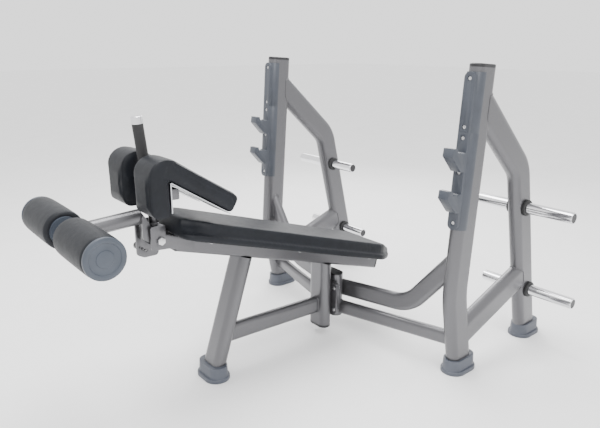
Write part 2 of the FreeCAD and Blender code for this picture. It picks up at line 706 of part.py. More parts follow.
def build_cross_tubes(uprights):
    """Upper and lower cross tubes, each in two halves that meet at the middle, and their post."""
    post = oval_bar(POST_LONG, POST_SHORT, V(RACK_POST_X, 0, RACK_POST_BOTTOM_Z),
                    V(RACK_POST_X, 0, RACK_POST_TOP_Z), AXIS_Y)
    post_bore = oval_bar(POST_LONG - 2 * TUBE_WALL, POST_SHORT - 2 * TUBE_WALL,
                         V(RACK_POST_X, 0, RACK_POST_BOTTOM_Z),
                         V(RACK_POST_X, 0, RACK_POST_TOP_Z), AXIS_Y)
    for side, sign in SIDES:
        far_half = block(-FAR, FAR, min(0, -sign * FAR), max(0, -sign * FAR), -FAR, FAR)
        end_x = on_line(UPRIGHT_BEND, UPRIGHT_TOP, UPPER_CROSS_END_Z)
        run = (end_x - UPPER_CROSS_X) / RACK_Y
        middle_y = -0.2 * UPPER_CROSS_BEND_Y
        slope = (UPPER_CROSS_BEND_Z - UPPER_CROSS_MIDDLE_Z) / UPPER_CROSS_BEND_Y
        stations = ((RACK_Y, UPPER_CROSS_END_Z), (UPPER_CROSS_BEND_Y, UPPER_CROSS_BEND_Z),
                    (middle_y, UPPER_CROSS_MIDDLE_Z + slope * middle_y))
        points = [V(UPPER_CROSS_X + run * across, sign * across, z) for across, z in stations]
        tube, bore = tube_pair(oval_sweep, UPPER_CROSS_LONG, UPPER_CROSS_SHORT, points,
                               UPPER_CROSS_BEND_RADIUS, AXIS_Z)
        tube = tube.cut(bore).cut(uprights[side]).cut(far_half).cut(post)
        save(f"upper_cross_tube_{side}", max(tube.Solids, key=lambda solid: solid.Volume))

        end_x = on_line(UPRIGHT_FOOT, UPRIGHT_BEND, LOWER_CROSS_END_Z)
        start = V(end_x, sign * RACK_Y, LOWER_CROSS_END_Z)
        middle = V(RACK_POST_X, 0, LOWER_CROSS_MIDDLE_Z)
        tube, bore = tube_pair(oval_bar, LOWER_CROSS_LONG, LOWER_CROSS_SHORT, start, middle, AXIS_Z)
        save("lower_cross_tubes", tube.cut(bore).cut(uprights[side]).cut(post))
    save("rack_post", post.cut(post_bore))
    cap_wall = 2 * (TUBE_WALL + PLUG_CLEARANCE)
    lids = []
    for z, way in ((RACK_POST_TOP_Z, 1), (RACK_POST_BOTTOM_Z, -1)):
        edge = V(RACK_POST_X, 0, z)
        lid = oval_bar(POST_LONG, POST_SHORT, edge, edge + AXIS_Z * POST_CAP_THICK * way, AXIS_Y)
        plug = oval_bar(POST_LONG - cap_wall, POST_SHORT - cap_wall, edge,
                        edge - AXIS_Z * CAP_PLUG_DEPTH * way, AXIS_Y)
        lids.append(lid.fuse(plug))
    save("frame_end_caps", *lids)


def build_flanges():
    """The two bolted plates that join the bench to the rack."""
    top = FLANGE_BOTTOM_Z + FLANGE_HEIGHT
    start = COLUMN_X + POST_SHORT / 2
    holes = []
    bolts = []
    for y in (FLANGE_BOLT_Y, -FLANGE_BOLT_Y):
        for z in (FLANGE_BOTTOM_Z + FLANGE_BOLT_EDGE, top - FLANGE_BOLT_EDGE):
            face = start + 2 * FLANGE_THICK
            holes.append(cylinder(FLANGE_BOLT_RADIUS + PLUG_CLEARANCE, V(start - 1, y, z),
                                  V(face + 1, y, z)))
            shank = cylinder(FLANGE_BOLT_RADIUS, V(start - FLANGE_HEAD_HEIGHT, y, z),
                             V(face + FLANGE_BOLT_REACH, y, z))
            head = hexagon_bar(FLANGE_HEAD_RADIUS, V(start - FLANGE_HEAD_HEIGHT, y, z), V(start, y, z))
            nut = hexagon_bar(FLANGE_HEAD_RADIUS, V(face, y, z), V(face + FLANGE_NUT_HEIGHT, y, z))
            bolts.append(head.fuse(shank).fuse(nut))
    for index in range(2):
        x0 = start + index * FLANGE_THICK
        plate = block(x0, x0 + FLANGE_THICK, -FLANGE_WIDTH / 2, FLANGE_WIDTH / 2,
                      FLANGE_BOTTOM_Z, top)
        plate = box_rounded(plate, FLANGE_CORNER, lambda t: abs(t.x) > 0.99)
        for hole in holes:
            plate = plate.cut(hole)
        save("flange_plates", plate)
    save("flange_bolts", *bolts)


def hexagon_bar(radius, start, end):
    """Six-sided bar, as on a bolt head or nut, along X or Y."""
    direction = end - start
    side = AXIS_Z
    other = V(direction).normalize().cross(side)
    corners = []
    for step in range(HEXAGON_SIDES + 1):
        angle = 2 * math.pi * step / HEXAGON_SIDES
        corners.append(start + side * (radius * math.cos(angle)) + other * (radius * math.sin(angle)))
    return Part.Face(Part.makePolygon(corners)).extrude(direction)


# ---------------------------------------------------------------- bench frame
def build_bench_frame():
    """Beam, front leg, column, lower bar, their foot and caps."""
    beam_block = block(BEAM_FOOT_END, BEAM_HEAD_END, -BEAM_WIDTH / 2, BEAM_WIDTH / 2,
                       BEAM_BOTTOM, BEAM_TOP)
    beam_outer = box_rounded(beam_block, BEAM_CORNER, lambda t: abs(t.x) > 0.99)
    bore = block(BEAM_FOOT_END - 1, BEAM_HEAD_END + 1, -BEAM_WIDTH / 2 + TUBE_WALL,
                 BEAM_WIDTH / 2 - TUBE_WALL, BEAM_BOTTOM + TUBE_WALL, BEAM_TOP - TUBE_WALL)
    bore = box_rounded(bore, BEAM_CORNER - TUBE_WALL, lambda t: abs(t.x) > 0.99)
    save("main_beam", in_bench(beam_outer.cut(bore)))
    lid = block(BEAM_HEAD_END, BEAM_HEAD_END + BEAM_CAP_LENGTH, -BEAM_WIDTH / 2, BEAM_WIDTH / 2,
                BEAM_BOTTOM, BEAM_TOP)
    lid = box_rounded(lid, BEAM_CORNER, lambda t: abs(t.x) > 0.99)
    rim = [e for e in lid.Edges if e.BoundBox.XMin > BEAM_HEAD_END + BEAM_CAP_LENGTH - 0.01]
    lid = lid.makeFillet(CAP_EDGE, rim)
    inset = TUBE_WALL + PLUG_CLEARANCE
    plug = block(BEAM_HEAD_END - CAP_PLUG_DEPTH, BEAM_HEAD_END, -BEAM_WIDTH / 2 + inset, BEAM_WIDTH / 2 - inset,
                 BEAM_BOTTOM + inset, BEAM_TOP - inset)
    plug = box_rounded(plug, BEAM_CORNER - TUBE_WALL, lambda t: abs(t.x) > 0.99)
    save("frame_end_caps", in_bench(lid.fuse(plug)))

    over_beam = in_bench(block(-FAR, FAR, -FAR, FAR, BEAM_BOTTOM, BEAM_BOTTOM + FAR))
    leg_line = ((LEG_FOOT_X, 0.0), (LEG_TOP_X, LEG_TOP_Z))
    leg_start = V(on_line(*leg_line, -SPARE), 0, -SPARE)
    spare_top = LEG_TOP_Z + 4 * SPARE
    leg_end = V(on_line(*leg_line, spare_top), 0, spare_top)
    leg, leg_bore = tube_pair(oval_bar, POST_LONG, POST_SHORT, leg_start, leg_end, AXIS_Y)
    save("front_leg", leg.cut(leg_bore).cut(over_beam).cut(below(FOOT_FLOOR)))
    foot_x = on_line(*leg_line, FOOT_HEIGHT / 2)
    save("bench_foot", foot(foot_x, 0, leg, POST_LONG, POST_SHORT, AXIS_Y))

    column_end = V(COLUMN_X, 0, PAD_REFERENCE_Z)
    column_start = V(COLUMN_X, 0, COLUMN_BOTTOM_Z)
    column, column_bore = tube_pair(oval_bar, POST_LONG, POST_SHORT, column_start, column_end, AXIS_Y)
    save("bench_column", column.cut(column_bore).cut(over_beam))
    lid = oval_bar(POST_LONG, POST_SHORT, column_start, column_start - AXIS_Z * COLUMN_CAP_HEIGHT,
                   AXIS_Y)
    rim = [e for e in lid.Edges if e.BoundBox.ZMax < COLUMN_BOTTOM_Z - COLUMN_CAP_HEIGHT + 0.01]
    cap_cut = 2 * inset
    plug = oval_bar(POST_LONG - cap_cut, POST_SHORT - cap_cut, column_start,
                    column_start + AXIS_Z * CAP_PLUG_DEPTH, AXIS_Y)
    save("frame_end_caps", lid.makeFillet(CAP_EDGE, rim).fuse(plug))

    bar_start = V(on_line(*leg_line, LOWER_BAR_FRONT_Z), 0, LOWER_BAR_FRONT_Z)
    bar_end = V(COLUMN_X, 0, LOWER_BAR_REAR_Z)
    bar, bar_bore = tube_pair(oval_bar, LOWER_BAR_LONG, LOWER_BAR_SHORT, bar_start, bar_end, AXIS_Z)
    save("bench_lower_bar", bar.cut(bar_bore).cut(leg).cut(column))


def pad_outline(half_width, foot_end, head_end, head_half, z):
    """Plan outline of the bench pad: rounded foot corners and a head end that narrows."""
    taper = head_end - PAD_TAPER_LENGTH
    corner = PAD_CORNER
    foot_arc = corner * (1 - math.sqrt(0.5))
    shoulder = V(taper + PAD_SHOULDER, half_width - PAD_SHOULDER_IN / 4, z)
    tip_in = V(head_end - PAD_TIP_LENGTH, head_half, z)
    upper = [
        Part.Arc(V(foot_end, half_width - corner, z), V(foot_end + foot_arc, half_width - foot_arc, z),
                 V(foot_end + corner, half_width, z)).toShape(),
        Part.LineSegment(V(foot_end + corner, half_width, z), V(taper, half_width, z)).toShape(),
        Part.Arc(V(taper, half_width, z), shoulder, V(taper + 2 * PAD_SHOULDER, half_width - PAD_SHOULDER_IN, z)
                 ).toShape(),
        Part.LineSegment(V(taper + 2 * PAD_SHOULDER, half_width - PAD_SHOULDER_IN, z), tip_in).toShape(),
        Part.Arc(tip_in, V(head_end - PAD_TIP_LENGTH / 4, head_half - PAD_TIP_IN, z), V(head_end, 0, z)).toShape(),
    ]
    half = Part.Wire(upper)
    other = half.mirror(V(0, 0, z), AXIS_Y)
    back = Part.LineSegment(V(foot_end, half_width - corner, z),
                            V(foot_end, -half_width + corner, z)).toShape()
    return Part.Wire(Part.__sortEdges__(half.Edges + other.Edges + [back]))


def build_bench_pad():
    """Bench cushion with its wider lower tier, its board, the straps under it and their bolts."""
    top = Part.Face(pad_outline(PAD_HALF_WIDTH, PAD_FOOT_END, PAD_HEAD_END,
                                PAD_HEAD_HALF_WIDTH, 0)).extrude(V(0, 0, -PAD_LEDGE_DEPTH - 1))
    tier = Part.Face(pad_outline(PAD_LEDGE_HALF_WIDTH, PAD_FOOT_END - LEDGE_OVERHANG,
                                 PAD_HEAD_END + LEDGE_OVERHANG, PAD_LEDGE_HEAD_HALF_WIDTH,
                                 -PAD_LEDGE_DEPTH))
    tier = tier.extrude(V(0, 0, PAD_LEDGE_DEPTH - PAD_THICK))
    board_z = -PAD_THICK + BOARD_THICK
    board = Part.Face(pad_outline(PAD_LEDGE_HALF_WIDTH - BOARD_INSET, PAD_FOOT_END + BOARD_INSET,
                                  PAD_HEAD_END - BOARD_INSET, BOARD_HEAD_HALF_WIDTH, board_z))
    board = board.extrude(V(0, 0, -BOARD_THICK))
    pocket = Part.Face(pad_outline(PAD_LEDGE_HALF_WIDTH - BOARD_INSET + SOFT_GAP,
                                   PAD_FOOT_END + BOARD_INSET - SOFT_GAP,
                                   PAD_HEAD_END - BOARD_INSET + SOFT_GAP,
                                   BOARD_HEAD_HALF_WIDTH + SOFT_GAP, board_z + SOFT_GAP))
    pocket = pocket.extrude(V(0, 0, -2 * BOARD_THICK))
    cushion = top.fuse(tier).removeSplitter().cut(pocket)
    straps, bolts = [], []
    for station in STRAP_STATIONS:
        strap = block(station - STRAP_LENGTH / 2, station + STRAP_LENGTH / 2,
                      -STRAP_WIDTH / 2, STRAP_WIDTH / 2, BEAM_TOP, -PAD_THICK)
        strap = box_rounded(strap, STRAP_CORNER, lambda t: abs(t.z) > 0.99)
        for y in (STRAP_BOLT_Y, -STRAP_BOLT_Y):
            low = V(station, y, BEAM_TOP - STRAP_BOLT_HEAD)
            high = V(station, y, -PAD_THICK + BOARD_THICK - STRAP_BOLT_SHORT)
            hole = cylinder(STRAP_BOLT_RADIUS + PLUG_CLEARANCE, low, high)
            strap = strap.cut(hole)
            board = board.cut(hole)
            head = cylinder(STRAP_BOLT_RADIUS * 1.9, low, V(station, y, BEAM_TOP))
            bolts.append(in_bench(head.fuse(cylinder(STRAP_BOLT_RADIUS, low, high))))
        straps.append(in_bench(strap))
    save("bench_pad", in_bench(cushion))
    save("bench_pad_board", in_bench(board))
    save("bench_pad_straps", *straps)
    save("bench_pad_bolts", *bolts)


# ---------------------------------------------------------------- leg arm
def cheek_outline(extra_ear):
    """X-Z outline of a pivot cheek: a square head round the pin and a tail on the beam's side."""
    pad_end = PAD_FOOT_END - LEDGE_OVERHANG - PAD_CLEARANCE
    tail = BEAM_FOOT_END + CHEEK_TAIL
    clear_of_pad = bench_point(pad_end, 0, PAD_CLEARANCE - PAD_THICK)
    under_pad = bench_point(pad_end, 0, BEAM_TOP + 2)
    tail_top = bench_point(tail, 0, BEAM_TOP - PAD_CLEARANCE)
    tail_low = bench_point(tail, 0, BEAM_BOTTOM + PAD_CLEARANCE)
    front_x = PIVOT_X - CHEEK_FRONT_SETBACK
    low_z = PIVOT_Z - CHEEK_LOW
    front = [(front_x, low_z), (front_x, CHEEK_TOP_Z)]
    if extra_ear:
        ear = lock_point(LOCK_ANGLE_DEG, 0)
        rim = LOCK_HOUSING_RADIUS + LOCK_FLANGE_RIM
        front = [(ear.x + rim, ear.z - rim), (ear.x - rim, ear.z - rim), (ear.x - rim, ear.z + rim),
                 (front_x, PIVOT_Z), (front_x, CHEEK_TOP_Z)]
    return front + [(clear_of_pad.x, CHEEK_TOP_Z), (clear_of_pad.x, clear_of_pad.z),
                    (under_pad.x, under_pad.z), (tail_top.x, tail_top.z),
                    (tail_low.x, tail_low.z), (PIVOT_X + CHEEK_LOW, low_z - PAD_CLEARANCE)]


def build_pivot():
    """Cheeks, top plate, pivot bolt with its nut and washers, bushes and the lock pin's housing."""
    for side, sign in SIDES:
        near, far = sign * CHEEK_INNER_Y, sign * CHEEK_OUTER_Y
        cheek = polygon_plate(cheek_outline(sign > 0), min(near, far), max(near, far), CHEEK_CORNER)
        cheek = cheek.cut(pivot_rod(PIVOT_BOLT_RADIUS, -CHEEK_OUTER_Y, CHEEK_OUTER_Y))
        if sign > 0:
            cheek = cheek.cut(cylinder(LOCK_HOUSING_RADIUS, lock_point(LOCK_ANGLE_DEG, near - 1),
                                       lock_point(LOCK_ANGLE_DEG, far + 1)))
        save(f"pivot_cheek_{side}", cheek)

    head_y = -CHEEK_OUTER_Y
    shank = pivot_rod(PIVOT_BOLT_RADIUS, head_y, CHEEK_OUTER_Y + PIVOT_NUT_HEIGHT + PIVOT_BOLT_SPARE)
    head = hexagon_bar(PIVOT_HEAD_RADIUS, V(PIVOT_X, head_y - PIVOT_HEAD_HEIGHT, PIVOT_Z),
                       V(PIVOT_X, head_y, PIVOT_Z))
    save("pivot_bolt", shank.fuse(head))
    nut = hexagon_bar(PIVOT_HEAD_RADIUS, V(PIVOT_X, CHEEK_OUTER_Y, PIVOT_Z),
                      V(PIVOT_X, CHEEK_OUTER_Y + PIVOT_NUT_HEIGHT, PIVOT_Z))
    save("pivot_bolt", nut.cut(pivot_rod(PIVOT_BOLT_RADIUS, 0, 2 * CHEEK_OUTER_Y)))
    bushes = []
    for _, sign in SIDES:
        bushes.append(ring(HUB_RADIUS - BUSH_THICK, PIVOT_BOLT_RADIUS,
                           V(PIVOT_X, sign * (HUB_HALF + PIVOT_CLEARANCE), PIVOT_Z),
                           V(PIVOT_X, sign * CHEEK_INNER_Y, PIVOT_Z)))
    save("pivot_spacers", *bushes)

    bridge = block(TOP_PLATE_SHOULDER_X, TOP_PLATE_REAR_X, -CHEEK_INNER_Y, CHEEK_INNER_Y,
                   TOP_PLATE_Z - TOP_PLATE_THICK, TOP_PLATE_Z)
    tongue_half = POST_RADIUS + TOP_PLATE_TONGUE_MARGIN
    tongue = block(TOP_PLATE_FRONT_X, TOP_PLATE_SHOULDER_X, -tongue_half, tongue_half,
                   TOP_PLATE_Z - TOP_PLATE_THICK, TOP_PLATE_Z)
    save("pivot_top_plate", bridge.fuse(tongue).removeSplitter())

    base = lock_point(LOCK_ANGLE_DEG, CHEEK_INNER_Y)
    housing_end = base + AXIS_Y * (CHEEK_THICK + LOCK_HOUSING_LENGTH)
    housing = cylinder(LOCK_HOUSING_RADIUS, base, housing_end)
    flange = cylinder(LOCK_HOUSING_RADIUS + LOCK_FLANGE_RIM, base + AXIS_Y * CHEEK_THICK,
                      base + AXIS_Y * (CHEEK_THICK + LOCK_FLANGE_THICK))
    bore = cylinder(LOCK_PIN_RADIUS + LOCK_PIN_CLEARANCE, base - AXIS_Y, housing_end + AXIS_Y)
    save("lock_pin_housing", housing.fuse(flange).cut(bore))

    tip = lock_point(LOCK_ANGLE_DEG, HUB_HALF + LOCK_PIN_GAP)
    knob_start = housing_end + AXIS_Y * (KNOB_TRAVEL + KNOB_GAP)
    pin = cylinder(LOCK_PIN_RADIUS, tip, knob_start + AXIS_Y * KNOB_GRIP_DEPTH)
    pin = pin.makeChamfer(LOCK_PIN_CHAMFER, [e for e in pin.Edges if e.BoundBox.YMax < tip.y + TOUCH])
    save("lock_pin", pin)
    knob = cylinder(KNOB_RADIUS, knob_start, knob_start + AXIS_Y * KNOB_LENGTH)
    knob = knob.makeFillet(KNOB_EDGE, [e for e in knob.Edges
                                       if e.BoundBox.YMin > knob_start.y + KNOB_LENGTH - TOUCH])
    save("lock_pin_knob", knob.cut(pin))


def build_leg_arm():
    """Arm tube, its block, hub and two pivot plates, the bush and the roller axle."""
    start = V(ROLLER_X, 0, ROLLER_Z)
    end = V((ARM_REAR_TOP_X + ARM_REAR_LOW_X) / 2, 0, ARM_HEIGHT_Z)
    boss = cylinder(ARM_TUBE_RADIUS, V(ROLLER_X, -ARM_TUBE_RADIUS, ROLLER_Z),
                    V(ROLLER_X, ARM_TUBE_RADIUS, ROLLER_Z))
    bore = cylinder(AXLE_RADIUS, V(ROLLER_X, -ROLLER_RADIUS, ROLLER_Z),
                    V(ROLLER_X, ROLLER_RADIUS, ROLLER_Z))
    reach = (end - start).normalize() * 2 * ARM_TUBE_RADIUS
    tube = cylinder(ARM_TUBE_RADIUS, start, end + reach)
    tube_bore = cylinder(ARM_TUBE_RADIUS - ARM_TUBE_WALL, start, end + reach)
    slant = (ARM_REAR_LOW_X - ARM_REAR_TOP_X) / 2
    tail = polygon_plate([(ARM_REAR_TOP_X - slant, ARM_HEIGHT_Z + 2 * ARM_TUBE_RADIUS),
                          (PIVOT_X + ROLLER_RADIUS, ARM_HEIGHT_Z + 2 * ARM_TUBE_RADIUS),
                          (PIVOT_X + ROLLER_RADIUS, ARM_HEIGHT_Z - 2 * ARM_TUBE_RADIUS),
                          (ARM_REAR_LOW_X + slant, ARM_HEIGHT_Z - 2 * ARM_TUBE_RADIUS)],
                         -ROLLER_RADIUS, ROLLER_RADIUS)
    save("arm_tube", tube.cut(tube_bore).cut(tail).cut(boss))
    save("arm_tube", boss.cut(bore))

    block_low = PIVOT_Z - HUB_RADIUS * 0.75
    block_rear = ARM_REAR_LOW_X - 2
    outline = [(ARM_BLOCK_FRONT_X, ARM_HEIGHT_Z), (block_rear, ARM_HEIGHT_Z),
               (block_rear, PIVOT_Z + HUB_RADIUS), (PIVOT_X, PIVOT_Z + HUB_RADIUS),
               (PIVOT_X, block_low), (ARM_BLOCK_FRONT_X + HUB_RADIUS, block_low),
               (ARM_BLOCK_FRONT_X, PIVOT_Z)]
    hub = pivot_rod(HUB_RADIUS, -HUB_HALF, HUB_HALF)
    filler = polygon_plate(outline, -ARM_PLATE_INNER_Y, ARM_PLATE_INNER_Y).cut(tube)
    bush_outer = PIVOT_BOLT_RADIUS + BUSH_THICK
    hub_bore = pivot_rod(bush_outer, -2 * HUB_HALF, 2 * HUB_HALF)
    filler = max(filler.Solids, key=lambda solid: solid.Volume)
    save("arm_hub", hub.fuse(filler).removeSplitter().cut(hub_bore))
    sleeve = pivot_rod(bush_outer, -HUB_HALF, HUB_HALF)
    save("pivot_bush", sleeve.cut(pivot_rod(PIVOT_BOLT_RADIUS + PIVOT_CLEARANCE, -HUB_HALF, HUB_HALF)))

    plate_top = ARM_HEIGHT_Z + ARM_PLATE_RISE
    neck = [(ARM_PLATE_FRONT_X, plate_top), (ARM_REAR_TOP_X + ARM_PLATE_RISE, plate_top),
            (ARM_REAR_LOW_X, ARM_HEIGHT_Z - ARM_TUBE_RADIUS)]
    shape_of = {
        "arm_side_plate": neck + [(PIVOT_X - HUB_RADIUS, PIVOT_Z + HUB_RADIUS / 2), (PIVOT_X, PIVOT_Z),
                                  (PIVOT_X - HUB_RADIUS / 2, PIVOT_Z - HUB_RADIUS),
                                  (ARM_PLATE_FRONT_X, PIVOT_Z + HUB_RADIUS / 2)],
        "arm_lock_plate": neck + [(PIVOT_X - HUB_RADIUS, PIVOT_Z + HUB_RADIUS),
                                  (PIVOT_X + LOCK_PLATE_REAR, PIVOT_Z + HUB_RADIUS / 2),
                                  (PIVOT_X + LOCK_PLATE_REAR, PIVOT_Z - LOCK_PLATE_LOW),
                                  (PIVOT_X - LOCK_PLATE_REAR, PIVOT_Z - LOCK_PLATE_LOW),
                                  (ARM_PLATE_FRONT_X, PIVOT_Z + LOCK_PLATE_CORNER - LOCK_PLATE_LOW)],
    }
    for (_, sign), name in zip(SIDES, ("arm_lock_plate", "arm_side_plate")):
        y0, y1 = sorted((sign * ARM_PLATE_INNER_Y, sign * HUB_HALF))
        plate = polygon_plate(shape_of[name], y0, y1, LOCK_PLATE_CORNER)
        plate = plate.fuse(pivot_rod(HUB_RADIUS + ARM_HUB_RIM, y0, y1))
        if sign > 0:
            for step in LOCK_STEPS:
                angle = LOCK_ANGLE_DEG + step * LOCK_STEP_DEG
                plate = plate.cut(cylinder(LOCK_HOLE_RADIUS, lock_point(angle, y0 - 1),
                                           lock_point(angle, y1 + 1)))
        save(name, plate.removeSplitter().cut(hub))

    axle = ring(AXLE_RADIUS, AXLE_RADIUS - AXLE_WALL, V(ROLLER_X, -sleeve_end(), ROLLER_Z),
                V(ROLLER_X, sleeve_end(), ROLLER_Z))
    save("roller_axle", axle)
    stops = []
    for _, sign in SIDES:
        face = sign * sleeve_end()
        washer = cylinder(AXLE_WASHER_RADIUS, V(ROLLER_X, face, ROLLER_Z),
                          V(ROLLER_X, face + sign * AXLE_WASHER_THICK, ROLLER_Z))
        stem = cylinder(AXLE_RADIUS - AXLE_WALL, V(ROLLER_X, face - sign * AXLE_STEM_LENGTH, ROLLER_Z),
                        V(ROLLER_X, face, ROLLER_Z))
        stops.append(washer.fuse(stem))
    save("axle_end_stops", *stops)


def sleeve_end():
    """Distance from the centre plane to the end of the roller sleeves and of the axle."""
    return ROLLER_OUTER_Y - OUTER_CAP_THICK - AXLE_WASHER_THICK - SLEEVE_END_GAP


def build_rollers():
    """Foam leg rollers on plastic sleeves that end in an inner flange, and their outer caps."""
    for side, sign in SIDES:
        def at(y):
            return V(ROLLER_X, sign * y, ROLLER_Z)

        sleeve_outer = AXLE_RADIUS + AXLE_CLEARANCE + SLEEVE_WALL
        inner_face = ROLLER_INNER_Y + INNER_CAP_THICK
        outer_face = ROLLER_OUTER_Y - OUTER_CAP_THICK
        sleeve = ring(sleeve_outer, AXLE_RADIUS + AXLE_CLEARANCE, at(inner_face), at(sleeve_end() - 1))
        foam = ring(ROLLER_RADIUS, sleeve_outer + FOAM_CLEARANCE, at(inner_face + FOAM_CLEARANCE),
                    at(outer_face - FOAM_CLEARANCE))
        rims = [e for e in foam.Edges if e.BoundBox.XLength > 2 * ROLLER_RADIUS - 1
                and e.Curve.TypeId == "Part::GeomCircle"]
        foam = foam.makeFillet(FOAM_EDGE, rims)
        lid = cylinder(OUTER_CAP_RADIUS, at(outer_face), at(ROLLER_OUTER_Y))
        lid = lid.makeFillet(OUTER_CAP_EDGE, [e for e in lid.Edges if e.BoundBox.YLength < TOUCH
                                 and abs(abs(e.BoundBox.Center.y) - ROLLER_OUTER_Y) < TOUCH])
        save(f"leg_roller_{side}", foam)
        hollow = cylinder(sleeve_outer, at(outer_face), at(outer_face + OUTER_CAP_POCKET))
        save(f"roller_outer_cap_{side}", lid.cut(hollow))
        inner = ring(INNER_CAP_RADIUS, AXLE_RADIUS + AXLE_CLEARANCE, at(ROLLER_INNER_Y), at(inner_face))
        save(f"roller_sleeve_{side}", sleeve.fuse(inner))


# ---------------------------------------------------------------- thigh pads and handle
def thigh_board_line():
    """Inner face of the thigh pad board: bottom, inner corner and lower end, in X and Z."""
    slope = math.radians(THIGH_SLOPE_DEG)
    end_z = THIGH_KNEE_Z - (THIGH_END_X - THIGH_BOARD_X) * math.tan(slope)
    return (THIGH_BOARD_X, THIGH_BOTTOM_Z), (THIGH_BOARD_X, THIGH_KNEE_Z), (THIGH_END_X, end_z)


def crossbar_z():
    """Height of the thigh pad crossbar, tucked just under the sloping board."""
    drop = (MOUNT_PLATE_THICK + CROSSBAR_DEPTH) * math.tan(math.radians(THIGH_SLOPE_DEG))
    return THIGH_KNEE_Z - drop - 1 - CROSSBAR_HEIGHT / 2


def thigh_profile(start, end, lengthen, shorten):
    """Seven-shaped X-Z outline between two distances from the board's inner face."""
    slope = math.radians(THIGH_SLOPE_DEG)
    along = V(math.cos(slope), 0, -math.sin(slope))
    out = V(math.sin(slope), 0, math.cos(slope))
    low, knee, tail = (V(x, 0, z) for x, z in thigh_board_line())
    low = low - AXIS_Z * lengthen
    tail = tail - along * shorten
    share = THIGH_SLOPE_THICK / THIGH_THICK

    def offset_corner(distance):
        """Corner of the outline at one distance from the board's inner face."""
        x = knee.x - distance
        foot_point = knee + out * distance * share
        run = (x - foot_point.x) / along.x
        return V(x, 0, foot_point.z + along.z * run)

    return [low - AXIS_X * start, offset_corner(start), tail + out * start * share,
            tail + out * end * share, offset_corner(end), low - AXIS_X * end]


def thigh_solid(profile, y0, y1, radii):
    """Thigh pad piece from its outline; radii gives the rounding of chosen corners."""
    shape = polygon_plate([(p.x, p.z) for p in profile], y0, y1)
    for index, radius in radii.items():
        edges = [e for e in shape.Edges if abs(e.BoundBox.YLength - abs(y1 - y0)) < TOUCH
                 and (V(e.CenterOfMass.x, 0, e.CenterOfMass.z) - profile[index]).Length < TOUCH]
        shape = shape.makeFillet(radius, edges)
    return shape


def build_thigh_pads():
    """Thigh pads, their bent boards, the mounts behind them, the post and the handle."""
    for side, sign in SIDES:
        y0, y1 = sorted((sign * THIGH_INNER_Y, sign * THIGH_OUTER_Y))
        pad = thigh_solid(thigh_profile(THIGH_BOARD_THICK + SOFT_GAP, THIGH_THICK, THIGH_PAD_DROP, 0),
                          y0, y1, {Bend.KNEE: THIGH_KNEE_RADIUS, Bend.TAIL: THIGH_TAIL_RADIUS,
                                   Bend.FRONT: THIGH_FRONT_RADIUS, Bend.HEEL: THIGH_HEEL_RADIUS})
        board = thigh_solid(thigh_profile(0, THIGH_BOARD_THICK, -THIGH_BOARD_INSET,
                                          THIGH_BOARD_TAIL_INSET),
                            y0 + THIGH_BOARD_SIDE_INSET, y1 - THIGH_BOARD_SIDE_INSET,
                            {Bend.KNEE: THIGH_BOARD_THICK})
        middle_y = (y0 + y1) / 2
        plate_top = crossbar_z() + CROSSBAR_HEIGHT / 2
        plate_low = plate_top - MOUNT_PLATE_HEIGHT
        seat = THIGH_BOARD_X + MOUNT_PLATE_THICK
        plate = block(THIGH_BOARD_X, seat, middle_y - MOUNT_PLATE_WIDTH / 2,
                      middle_y + MOUNT_PLATE_WIDTH / 2, plate_low, plate_top)
        bolts = []
        for y in (middle_y - MOUNT_BOLT_SPACING / 2, middle_y + MOUNT_BOLT_SPACING / 2):
            height = plate_low + MOUNT_BOLT_EDGE
            end = V(THIGH_BOARD_X - THIGH_BOARD_THICK, y, height)
            hole = cylinder(THIGH_BOLT_RADIUS + PLUG_CLEARANCE, V(seat, y, height), end)
            board = board.cut(hole)
            plate = plate.cut(hole)
            head = cylinder(THIGH_BOLT_HEAD_RADIUS, V(seat, y, height),
                            V(seat + THIGH_BOLT_HEAD_HEIGHT, y, height))
            bolts.append(head.fuse(cylinder(THIGH_BOLT_RADIUS, V(seat, y, height), end)))
        save(f"thigh_pad_{side}", pad)
        save("thigh_pad_boards", board)
        save("thigh_pad_mounts", plate)
        save("thigh_pad_bolts", *bolts)

    base = V(POST_BASE_X, 0, TOP_PLATE_Z)
    top = V(POST_TOP_X, 0, GRIP_TOP_Z)
    lean = (top - base).normalize()
    post = cylinder(POST_RADIUS, base, top)
    grip_start = base + lean * ((GRIP_BOTTOM_Z - base.z) / lean.z)
    grip = cylinder(GRIP_RADIUS, grip_start, top).cut(cylinder(POST_RADIUS, grip_start, top))
    bar_x = THIGH_BOARD_X + MOUNT_PLATE_THICK
    crossbar = block(bar_x, bar_x + CROSSBAR_DEPTH, -CROSSBAR_HALF_LENGTH, CROSSBAR_HALF_LENGTH,
                     crossbar_z() - CROSSBAR_HEIGHT / 2, crossbar_z() + CROSSBAR_HEIGHT / 2)
    crossbar = box_rounded(crossbar, CROSSBAR_CORNER, lambda t: abs(t.y) > 0.99)
    save("handle_post", post.cut(below(base.z)))
    save("handle_grip", grip)
    cap = cylinder(GRIP_RADIUS, top, top + lean * HANDLE_CAP_THICK)
    rim = [e for e in cap.Edges if e.BoundBox.ZMin > top.z + HANDLE_CAP_THICK / 2]
    save("handle_cap", cap.makeFillet(HANDLE_CAP_EDGE, rim))
    save("thigh_pad_mounts", crossbar.cut(post))


def main():
    """Builds every sub-part and writes it."""
    uprights = {}
    for side, sign in SIDES:
        uprights[side] = build_rack_side(side, sign)
        build_hook_covers(sign)
        build_horns(side, sign)
    build_cross_tubes(uprights)
    build_flanges()
    build_bench_frame()
    build_bench_pad()
    build_pivot()
    build_leg_arm()
    build_rollers()
    build_thigh_pads()
    write_pieces()


main()
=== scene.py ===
"""Dresses the decline bench and its barbell rack: cushions, rollers, covers, paint and welds."""
import json
import logging
import math
from dataclasses import dataclass, field
from enum import Enum
from typing import Callable, Iterable, Optional, Sequence

